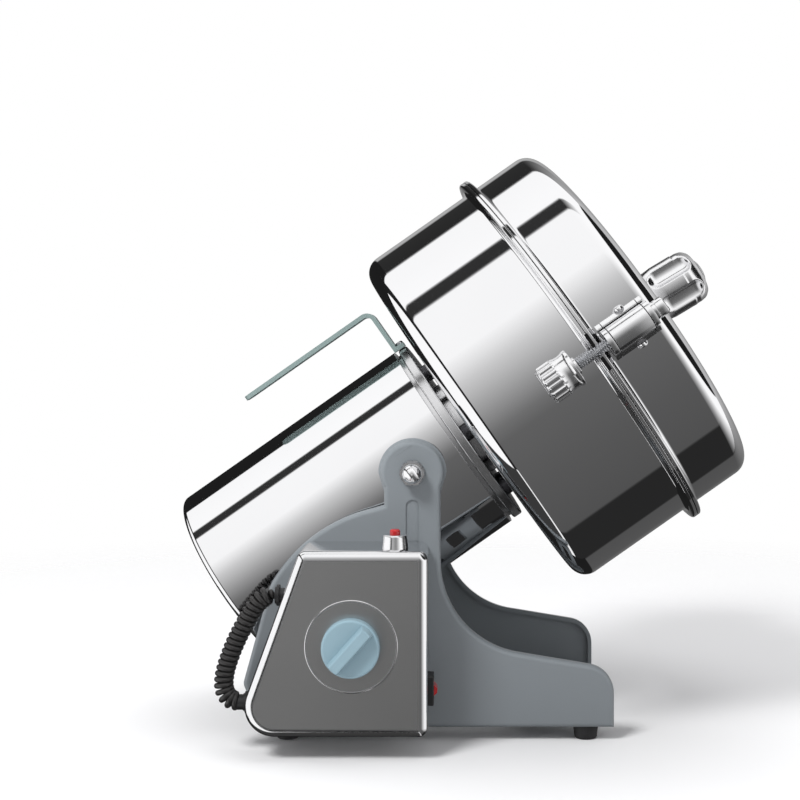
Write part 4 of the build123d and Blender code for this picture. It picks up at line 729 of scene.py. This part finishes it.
class CutBrackets(PieceOperator):
    """The clamps' brackets: a grooved barrel between two slanting flanks, on the lid's wall"""

    bl_idname = "grain_mill.clamp_brackets"
    bl_label = "Clamp brackets"

    def make(self):
        low, high, _ = mill_reach("clamp_brackets")
        inset = 0.6 * MM
        skins, shade_cores = bmesh.new(), bmesh.new()
        for side in (1, -1):
            join(skins, self.skin(low, high), clamp_place(side))
            join(shade_cores, self.core(low + inset, high - inset), clamp_place(side))
        finished_piece("lid_clamp_brackets", skins, "clamp_brackets", sharp=28)
        # painted shade: the black cores make the grooves and gaps between barrel and flanks read dark
        finished_piece(
            "lid_bracket_shade_cores", shade_cores, "clamp_brackets", slot="black_plastic", stands_for=False
        )

    def seat(self):
        """The depth to which a bracket reaches, just inside the lid's wall."""
        return sizes().wall_radius - CLAMP_OFFSET - 2.5 * MM

    def skin(self, low, high):
        """Barrel and flanks, parted by two grooves."""
        radius, bore, gap, edge = sizes().barrel_radius, 3.6 * MM, 0.5 * MM, 0.2 * MM
        first, second = low + 3.2 * MM, high - 3.6 * MM
        parts = bmesh.new()
        for start, end in ((low, first), (first + gap, second), (second + gap, high)):
            join(parts, turned((
                (bore, start, 0), (radius, start, edge), (radius, end, edge), (bore, end, 0),
            ), steps=96, segments=3))
            for way in (1, -1):
                join(parts, self.flank(way, end - start), Matrix.Translation((0, 0, start)))
        return parts

    def flank(self, way, length):
        """A slanting strip beside the barrel."""
        near, far, edge = sizes().barrel_radius + 0.5 * MM, 11.5 * MM, 0.2 * MM
        return prism((
            (way * near, self.seat(), 0), (way * far, self.seat(), 0),
            (way * far, -9.2 * MM, edge), (way * near, -5.6 * MM, edge),
        ), length, segments=3)

    def core(self, low, high):
        """The black core that the grooves and gaps show, as painted shade in them."""
        radius, bore = sizes().barrel_radius - 0.7 * MM, 3.8 * MM
        tube = turned((
            (bore, low, 0), (radius, low, 0), (radius, high, 0), (bore, high, 0),
        ), steps=72)
        half, top, shoulder = 10.6 * MM, 7.9 * MM, -9.4 * MM
        web = prism((
            (-half, self.seat(), 0), (half, self.seat(), 0), (half, shoulder, 0),
            (top, -6.6 * MM, 0), (-top, -6.6 * MM, 0), (-half, shoulder, 0),
        ), high - low)
        return join(tube, web, Matrix.Translation((0, 0, low)))


class TurnRods(PieceOperator):
    """The clamp rods: threaded below the barrel, with a socket head above it"""

    bl_idname = "grain_mill.clamp_rods"
    bl_label = "Clamp rods"

    def make(self):
        kit = sizes()
        low, high, _ = mill_reach("clamp_rods")
        seat = mill_reach("clamp_brackets")[1] + 0.2 * MM
        thread_end = mill_reach("clamp_brackets")[0] + 1.0 * MM
        crest, head, socket, depth = kit.rod_crest, kit.rod_head, 3.0 * MM, 0.7 * MM
        groove, step, end = kit.rod_head - 0.35 * MM, seat + 2.2 * MM, seat + 2.6 * MM
        heads, threads = bmesh.new(), bmesh.new()
        for side in (1, -1):
            join(heads, turned((
                (0, thread_end, 0), (crest, thread_end, 0), (crest, seat, 0), (head, seat, EDGE),
                (head, step, 0.1 * MM), (groove, step, 0), (groove, end, 0), (head, end, 0.1 * MM),
                (head, high, 0.8 * MM), (socket, high, 0.2 * MM), (socket, high - 4 * MM, 0),
                (0, high - 4.8 * MM, 0),
            ), steps=72, closed=False, segments=3), clamp_place(side))
            rod = turned((
                (0, low, 0), *rows(crest, low + 0.2 * MM, thread_end, 160), (0, thread_end, 0),
            ), steps=72, closed=False)
            thread(rod, low, thread_end, crest - depth, crest, kit.thread_pitch)
            join(threads, rod, clamp_place(side))
        finished_piece("lid_clamp_rods", heads, "clamp_rods", sharp=40)
        finished_piece("lid_rod_threads", threads, "clamp_rods", slot="zinc", stands_for=False)


class DomeBracketScrews(PieceOperator):
    """The domed screws in the brackets' flanks"""

    bl_idname = "grain_mill.bracket_screws"
    bl_label = "Bracket screws"

    def make(self):
        low, high, _ = mill_reach("bracket_screws")
        all_screws = bmesh.new()
        for side in (1, -1):
            for way in (1, -1):
                screw = turned((
                    (0, 0, 0), (3.2 * MM, 0, 0), (3.2 * MM, 1.0 * MM, 0.4 * MM),
                    (2.7 * MM, 2.0 * MM, 0.6 * MM), (1.4 * MM, 2.6 * MM, 0.5 * MM), (0, 2.7 * MM, 0),
                ), steps=40, closed=False, segments=5)
                place = Matrix.Translation((way * 11.3 * MM, -9.6 * MM, (low + high) / 2))
                turn = Matrix.Rotation(way * math.pi / 2, 4, "Y")
                join(all_screws, screw, clamp_place(side) @ place @ turn)
        finished_piece("lid_bracket_screws", all_screws, "bracket_screws", sharp=50)


class FluteNuts(PieceOperator):
    """The clamp nuts: fluted grip, waist, flared collar and boss"""

    bl_idname = "grain_mill.clamp_nuts"
    bl_label = "Clamp nuts"

    def make(self):
        kit = sizes()
        for side, node in ((1, "near_clamp_nut"), (-1, "far_clamp_nut")):
            low, high, _ = mill_reach(node)
            grip, bore = kit.nut_radius, kit.rod_crest + 0.25 * MM
            waist, collar, boss = 9.2 * MM, 11.3 * MM, 5.2 * MM
            face, bottom = low + 19.8 * MM, low + 2.6 * MM
            nut = turned((
                (0, low, 0), (grip - 1.7 * MM, low, EDGE), (grip, low + 1.3 * MM, 0.6 * MM),
                *rows(grip, low + 2 * MM, low + 10 * MM, 22),
                (waist, low + 14.6 * MM, 5 * MM), (collar, low + 18.0 * MM, 0.8 * MM),
                (collar, face, 0.35 * MM), (boss, face, 0.2 * MM), (boss, high, 0.4 * MM),
                (bore, high, 0.2 * MM), (bore, bottom, 0), (0, bottom, 0),
            ), steps=kit.nut_flutes * 14, closed=False, segments=4)
            scoop(
                nut, kit.nut_flutes, 0.0, 1.5 * MM, 1.1 * MM, grip, low - 2 * MM, low + 8.6 * MM,
                0.2 * MM,
            )
            finished_piece(node + "_fluted", nut, node, clamp_place(side), sharp=50)


class CarveStarKnob(PieceOperator):
    """The lid's star knob: six lobes with ball-cut flutes between them, and a domed crown"""

    bl_idname = "grain_mill.star_knob"
    bl_label = "Star knob"

    def make(self):
        kit = sizes()
        back = mill_reach("lid_knob")[0]
        grip, neck, start = kit.knob_radius, 9.0 * MM, back + 9.5 * MM
        front = start + 34.8 * MM
        knob = turned((
            (4.2 * MM, back, 0), (neck, back, 0.5 * MM), (neck, start, 1.0 * MM),
            (grip - 2.2 * MM, start, 1.5 * MM), (grip - 0.6 * MM, start + 5 * MM, 3 * MM),
            *rows(grip - 0.1 * MM, start + 8 * MM, start + 23 * MM, 30),
            *rows(grip - 0.5 * MM, start + 23.5 * MM, start + 26.5 * MM, 6),
            (grip - 1.0 * MM, front - 6.2 * MM, 1.5 * MM), (grip - 2.4 * MM, front - 3.2 * MM, 1.5 * MM),
            (grip - 5.6 * MM, front, 1.4 * MM), (9.4 * MM, front, 0.2 * MM),
            (9.4 * MM, front - 0.8 * MM, 0), (8.5 * MM, front - 0.8 * MM, 0),
            (8.5 * MM, front + 0.9 * MM, 0.4 * MM), (6.6 * MM, front + 2.1 * MM, 1.5 * MM),
            (3.4 * MM, front + 2.8 * MM, 1.5 * MM), (0, front + 3.0 * MM, 0),
        ), steps=kit.knob_lobes * 48, closed=False, segments=6)
        first = math.pi / kit.knob_lobes + math.radians(3)
        scoop(
            knob, kit.knob_lobes, first, 7.2 * MM, 5.0 * MM, grip, start + 8.0 * MM,
            front - 9.0 * MM, 0.9 * MM,
        )
        foot = Matrix.Translation((0, 0, back - 5 * MM))
        lean = foot @ Matrix.Rotation(-kit.knob_lean, 4, "Y") @ foot.inverted()
        finished_piece("lid_star_knob", knob, "lid_knob", MILL @ lean, sharp=50)


# -------- frame and box details
class PressEar(PieceOperator):
    """The slanted, pressed edge round the near plate's ear"""

    bl_idname = "grain_mill.ear"
    bl_label = "Ear"

    def make(self):
        half, depth, foot, slant = sizes().ear_radius, 5.0 * MM, -14 * MM, 4.0 * MM
        crown = half * 0.999  # just short of a half circle
        lean, neck, narrowing = 0.014, -4 * MM, 0.02 / MM
        ear = prism((
            (-half, foot, 0), (half, foot, 0), (half, half, crown), (-half, half, crown),
        ), depth, segments=24)
        front = edges_at(ear, depth)
        sides = [edge for edge in front if max(end.co.y for end in edge.verts) > foot + 1 * MM]
        bevelled(ear, sides, slant, "EDGES", 1)
        for corner in ear.verts:
            if corner.co.z > 0.5 * MM:
                corner.co.z += (corner.co.y - half) * lean
            if corner.co.y < neck:
                corner.co.x *= 1 - narrowing * (neck - corner.co.y)
        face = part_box("near_side_plate")[0].y - 0.15 * MM
        place = upright_place((PIVOT.x, face + depth, PIVOT.z), (0, -1, 0))
        finished_piece("plate_ear_edge", ear, "near_side_plate", place, stands_for=False)


class DrawDialRim(PieceOperator):
    """The bright rim of the dial disc on the control panel"""

    bl_idname = "grain_mill.dial_rim"
    bl_label = "Dial rim"

    def make(self):
        centre = Vector(JOINTS["timer_turn"]["pos_m"])
        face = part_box("control_panel")[0].y
        inner, outer = sizes().dial_radius - 0.6 * MM, sizes().dial_radius + 0.5 * MM
        sunk, proud = -0.8 * MM, 0.05 * MM
        ring = turned((
            (inner, sunk, 0), (outer, sunk, 0), (outer, proud, 0.5 * MM), (inner, proud, 0.1 * MM),
        ), steps=128, segments=4)
        place = upright_place((centre.x, face, centre.z), (0, -1, 0))
        finished_piece("dial_rim", ring, "control_box", place, stands_for=False)


class FitCordSleeve(PieceOperator):
    """The smooth sleeve that the curly cord's lower end comes out of"""

    bl_idname = "grain_mill.cord_sleeve"
    bl_label = "Cord sleeve"

    def make(self):
        radius, length, sunk = 4.4 * MM, 8.0 * MM, 3.0 * MM
        sleeve = turned((
            (0, 0, 0), (radius, 0, 0), (radius, length, 1.2 * MM), (0, length, 0),
        ), steps=48, closed=False)
        origin = (PIVOT.x + CORD_ROUTE[0][0] + sunk, CORD_DEPTH, CORD_ROUTE[0][1])
        finished_piece(
            "cord_sleeve", sleeve, "lower_cord_gland", upright_place(origin, (-1, 0, 0)),
            stands_for=False,
        )


# -------- camera and cord
FOCAL_LENGTH, SENSOR_WIDTH = 62.4, 36.0
CAMERA_PLACE = (PIVOT.x + 0.0268, -0.8989, 0.2373)
CAMERA_SHIFT = (-0.0716, -0.0713)


class AimCamera(PieceOperator):
    """The camera, level and on the control box's side"""

    bl_idname = "grain_mill.camera"
    bl_label = "Camera"

    def make(self):
        lens = bpy.data.cameras.new("camera")
        lens.lens, lens.sensor_width = FOCAL_LENGTH, SENSOR_WIDTH
        lens.clip_end = 40.0
        camera = bpy.data.objects.new("camera", lens)
        camera.location = CAMERA_PLACE
        camera.rotation_euler = (math.pi / 2, 0.0, 0.0)
        lens.shift_x, lens.shift_y = CAMERA_SHIFT
        bpy.context.scene.collection.objects.link(camera)
        bpy.context.scene.camera = camera


# the cord's middle line: places in the XZ plane, counted from the pivot's x, and their depth
CORD_ROUTE = (
    (-0.0970, 0.0292), (-0.1015, 0.0292), (-0.1062, 0.0320), (-0.1087, 0.0370),
    (-0.1083, 0.0455), (-0.1049, 0.0565), (-0.1000, 0.0680), (-0.0935, 0.0795),
    (-0.0903, 0.0848), (-0.0870, 0.0886), (-0.0826, 0.0911), (-0.0786, 0.0911),
)
CORD_DEPTH = -0.095


def smooth_spline(name, points):
    """A curve object of one open NURBS spline with these control points."""
    curve = bpy.data.curves.new(name, "CURVE")
    curve.dimensions = "3D"
    curve.resolution_u = 24
    spline = curve.splines.new("NURBS")
    spline.points.add(len(points) - 1)
    for control, point in zip(spline.points, points):
        control.co = (*point, 1.0)
    spline.order_u = 3
    spline.use_endpoint_u = True
    return bpy.data.objects.new(name, curve)


def spline_points(points):
    """Points along the smooth line of a route."""
    route = smooth_spline("route", points)
    bpy.context.scene.collection.objects.link(route)
    line = bpy.data.meshes.new_from_object(route)
    found = [vertex.co.copy() for vertex in line.vertices]
    curve = route.data
    bpy.data.objects.remove(route)
    bpy.data.curves.remove(curve)
    bpy.data.meshes.remove(line)
    return found


def along_line(points, count):
    """Evenly spaced places on a line, each with its direction."""
    reached = [0.0]
    for before, after in zip(points, points[1:]):
        reached.append(reached[-1] + (after - before).length)
    places, run = [], 0
    for step in range(count + 1):
        distance = reached[-1] * step / count
        while run < len(points) - 2 and reached[run + 1] < distance:
            run += 1
        share = (distance - reached[run]) / (reached[run + 1] - reached[run])
        way = points[run + 1] - points[run]
        places.append((points[run] + way * share, way.normalized(), distance))
    return places, reached[-1]


class WindCurlyCord(PieceOperator):
    """The curly cord between the box's two glands, one wire wound about its route"""

    bl_idname = "grain_mill.curly_cord"
    bl_label = "Curly cord"

    def make(self):
        wire_radius = sizes().cord_wire / 2
        coil_radius = sizes().cord_coil - wire_radius
        route = [Vector((PIVOT.x + x, CORD_DEPTH, z)) for x, z in CORD_ROUTE]
        per_turn, ease = 16, 5.2 * MM
        places, length = along_line(spline_points(route), sizes().cord_turns * per_turn)
        across = Vector((0, 1, 0))
        wound = []
        for step, (centre, way, distance) in enumerate(places):
            reach = min(1.0, min(distance, length - distance) / ease)
            radius = coil_radius * reach * reach * (3 - 2 * reach)
            turn = FULL_TURN * step / per_turn
            beside = way.cross(across)
            wound.append(centre + (across * math.cos(turn) + beside * math.sin(turn)) * radius)
        cord = smooth_spline("curly_cord_wire", wound)
        cord.data.resolution_u = 3
        cord.data.bevel_depth = wire_radius
        cord.data.bevel_resolution = 5
        cord.data.use_fill_caps = True
        cord.data.materials.append(finish_for("cord_rubber"))
        bpy.context.scene.collection.objects.link(cord)
        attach(cord, "frame")
        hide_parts("curly_cord")


# -------- finishes of the frame
class FinishFrame(PieceOperator):
    """Gives every node of the frame its finish"""

    bl_idname = "grain_mill.frame_finishes"
    bl_label = "Frame finishes"

    def make(self):
        for node, part in frame["nodes"].items():
            for place in part.material_slots:
                place.material = finish_for(SLOT_OF[node])


# -------- studio
def srgb(level):
    """The linear value of an 8-bit level."""
    part = level / 255
    return part / 12.92 if part <= 0.04045 else ((part + 0.055) / 1.055) ** 2.4


def level_at(table, place):
    """A level read between the stops of a table."""
    for (low, first), (high, second) in zip(table, table[1:]):
        if low <= place <= high:
            return first + (second - first) * (place - low) / max(high - low, 1e-6)
    return table[-1][1]


# the levels of the cards round the middle of the mill, by angle: 90 above it, 180 on the near side
REFLECTED = (
    (0, 132), (24, 168), (27, 150), (30, 44), (55, 40), (58, 246), (93, 250), (95, 48),
    (103, 46), (105, 246), (140, 245), (148, 225), (156, 200), (164, 180), (172, 158),
    (180, 135), (188, 110), (196, 95), (230, 86), (266, 80), (268, 38), (300, 38), (302, 78),
    (326, 80), (345, 110), (360, 132),
)
STEEL_SHARE = 0.8  # what the steel mirrors of a card's light
ABOVE_FROM, BELOW_FROM, BEHIND_FROM = 57, 215, 300
END_LEVEL = 28
# height along the mill's axis, then the level of the cards above, below and behind; None: the table
TENT_LEVELS = (
    (-24.0, 250, 56, 28), (-1.66, 250, 56, 28), (-1.62, 30, 56, 28), (-1.25, 30, 56, 28),
    (-1.2, 30, 245, 28), (-0.98, 30, 245, 28), (-0.94, None, None, 28), (-0.1, None, None, 28),
    (-0.05, None, None, None), (0.57, None, None, None), (2.4, 250, 250, 150),
    (3.8, 250, 250, 180), (3.95, 28, 28, 180), (24.0, 28, 28, 225),
)


def tent_glow(level, angle):
    """The light that one corner of the tent's cards gives."""
    _, above, below, behind = level
    chosen = behind
    if ABOVE_FROM < angle < BELOW_FROM:
        chosen = above
    elif BELOW_FROM <= angle < BEHIND_FROM:
        chosen = below
    if chosen is None:
        chosen = level_at(REFLECTED, angle)
    value = srgb(chosen) / STEEL_SHARE
    return (value, value, value, 1.0)


def emissive(name):
    """A black surface that glows as its colour attribute says."""
    finish = Finish(name, (0, 0, 0), 1.0, Specular_IOR_Level=0.0, Emission_Strength=1.0)
    finish.set("Emission Color", finish.node("ShaderNodeAttribute", {"attribute_name": "glow"}))
    return finish.material


def hidden_from(thing, *kinds):
    """Keeps an object out of these kinds of ray."""
    for kind in kinds:
        setattr(thing, "visible_" + kind, False)


class RaiseTent(PieceOperator):
    """The studio's round tent of light and dark cards, which the polished steel mirrors"""

    bl_idname = "grain_mill.tent"
    bl_label = "Tent of cards"

    def make(self):
        radius, steps = 3.0, 720
        shape = bmesh.new()
        glow = shape.loops.layers.float_color.new("glow")
        rings = []
        for height, *_ in TENT_LEVELS:
            ring = []
            for step in range(steps):
                angle = FULL_TURN * step / steps
                across, away = radius * math.sin(angle), -radius * math.cos(angle)
                ring.append(shape.verts.new((across, away, height)))
            rings.append(ring)
        for lower, upper, low, high in zip(rings, rings[1:], TENT_LEVELS, TENT_LEVELS[1:]):
            for step in range(steps):
                following = (step + 1) % steps
                face = shape.faces.new(
                    (lower[step], lower[following], upper[following], upper[step])
                )
                angles = (step, step + 1, step + 1, step)
                for loop, angle, level in zip(face.loops, angles, (low, low, high, high)):
                    loop[glow] = tent_glow(level, 360 * angle / steps)
        for ring in (rings[0], rings[-1]):
            cap = shape.faces.new(ring)
            for loop in cap.loops:
                loop[glow] = tent_glow((0, END_LEVEL, END_LEVEL, END_LEVEL), 0.0)
        bmesh.ops.transform(shape, matrix=MILL, verts=shape.verts[:])
        tent = linked("tent", shape, emissive("tent_cards"))
        hidden_from(tent, "camera", "diffuse", "shadow", "transmission", "volume_scatter")


class LayFloor(PieceOperator):
    """The plain pale floor"""

    bl_idname = "grain_mill.floor"
    bl_label = "Floor"

    def make(self):
        end, fade = 0.85, 0.45
        finish = Finish("pale_floor", (0.80, 0.80, 0.805), 0.75, Specular_IOR_Level=0.2)
        clouds = finish.noise(1.2, 2.0)
        length = {"operation": "LENGTH"}
        away = finish.node("ShaderNodeVectorMath", length, {"Vector": finish.places()}, "Value")
        finish.set("Alpha", ((end - away) / fade).clamped())
        finish.set("Roughness", 0.7 + clouds * 0.1)
        finish.shade(0.006, clouds)
        shape = bmesh.new()
        bmesh.ops.create_grid(shape, x_segments=8, y_segments=8, size=6.0)
        floor = linked("floor", shape, finish.material)
        hidden_from(floor, "glossy")


# name, place, width and power
SOFT_BOXES = (
    ("key_light", (-0.9, -1.2, 1.7), 0.6, 36.0),
    ("top_light", (0.2, 0.3, 2.2), 1.8, 22.0),
    ("fill_light", (1.8, -1.2, 0.9), 1.4, 5.0),
)
AIM = Vector((0.0, 0.0, 0.12))
WORLD_LIGHT = (0.52, 0.52, 0.53, 1.0)
WHITE = (1.0, 1.0, 1.0, 1.0)


def soft_light(name, place, width, power):
    """A square soft box that lights without being mirrored."""
    light = bpy.data.lights.new(name, "AREA")
    light.shape = "RECTANGLE"
    light.size = light.size_y = width
    light.energy = power
    lamp = bpy.data.objects.new(name, light)
    lamp.location = place
    lamp.rotation_euler = (AIM - Vector(place)).to_track_quat("-Z", "Y").to_euler()
    bpy.context.scene.collection.objects.link(lamp)
    hidden_from(lamp, "glossy", "camera")


class SetLights(PieceOperator):
    """Soft boxes, and a white world behind the floor"""

    bl_idname = "grain_mill.lights"
    bl_label = "Lights"

    def make(self):
        for soft_box in SOFT_BOXES:
            soft_light(*soft_box)
        world = bpy.data.worlds.new("studio")
        bpy.context.scene.world = world
        world.use_nodes = True
        tree = world.node_tree
        background = tree.nodes["Background"]
        rays = tree.nodes.new("ShaderNodeLightPath")
        mixed = tree.nodes.new("ShaderNodeMix")
        mixed.data_type = "RGBA"
        mixed.inputs[MIX_FIRST].default_value = WORLD_LIGHT
        mixed.inputs[MIX_SECOND].default_value = WHITE
        tree.links.new(rays.outputs["Is Camera Ray"], mixed.inputs[MIX_FACTOR])
        tree.links.new(mixed.outputs[MIX_COLOUR], background.inputs["Color"])
        bpy.context.scene.view_settings.view_transform = "Standard"


OPERATORS = (
    AimCamera, FinishFrame, RollCasing, DrawBowl, DrawLid, CutBrackets, TurnRods,
    DomeBracketScrews, FluteNuts, CarveStarKnob, PressEar, DrawDialRim, FitCordSleeve,
    WindCurlyCord, RaiseTent, LayFloor, SetLights,
)


class GrainMillPanel(Panel):
    """The sidebar's sizes, colours and steps"""

    bl_label = "Grain mill"
    bl_idname = "VIEW3D_PT_grain_mill"
    bl_space_type = "VIEW_3D"
    bl_region_type = "UI"
    bl_category = "Grain mill"

    def draw(self, context):
        for heading, group in (("Sizes", sizes()), ("Colours", colours())):
            box = self.layout.box()
            box.label(text=heading)
            for name in group.__annotations__:
                box.prop(group, name)
        steps = self.layout.column(align=True)
        for operator in OPERATORS:
            steps.operator(operator.bl_idname)


CLASSES = (GrainMillSizes, GrainMillColours, *OPERATORS, GrainMillPanel)


def register():
    for each in CLASSES:
        bpy.utils.register_class(each)
    bpy.types.Scene.grain_mill_sizes = PointerProperty(type=GrainMillSizes)
    bpy.types.Scene.grain_mill_colours = PointerProperty(type=GrainMillColours)


def unregister():
    del bpy.types.Scene.grain_mill_colours
    del bpy.types.Scene.grain_mill_sizes
    for each in reversed(CLASSES):
        bpy.utils.unregister_class(each)


def main():
    """Registers the add-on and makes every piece."""
    register()
    for operator in OPERATORS:
        group, name = operator.bl_idname.split(".")
        getattr(getattr(bpy.ops, group), name)()


if __name__ == "__main__":
    main()
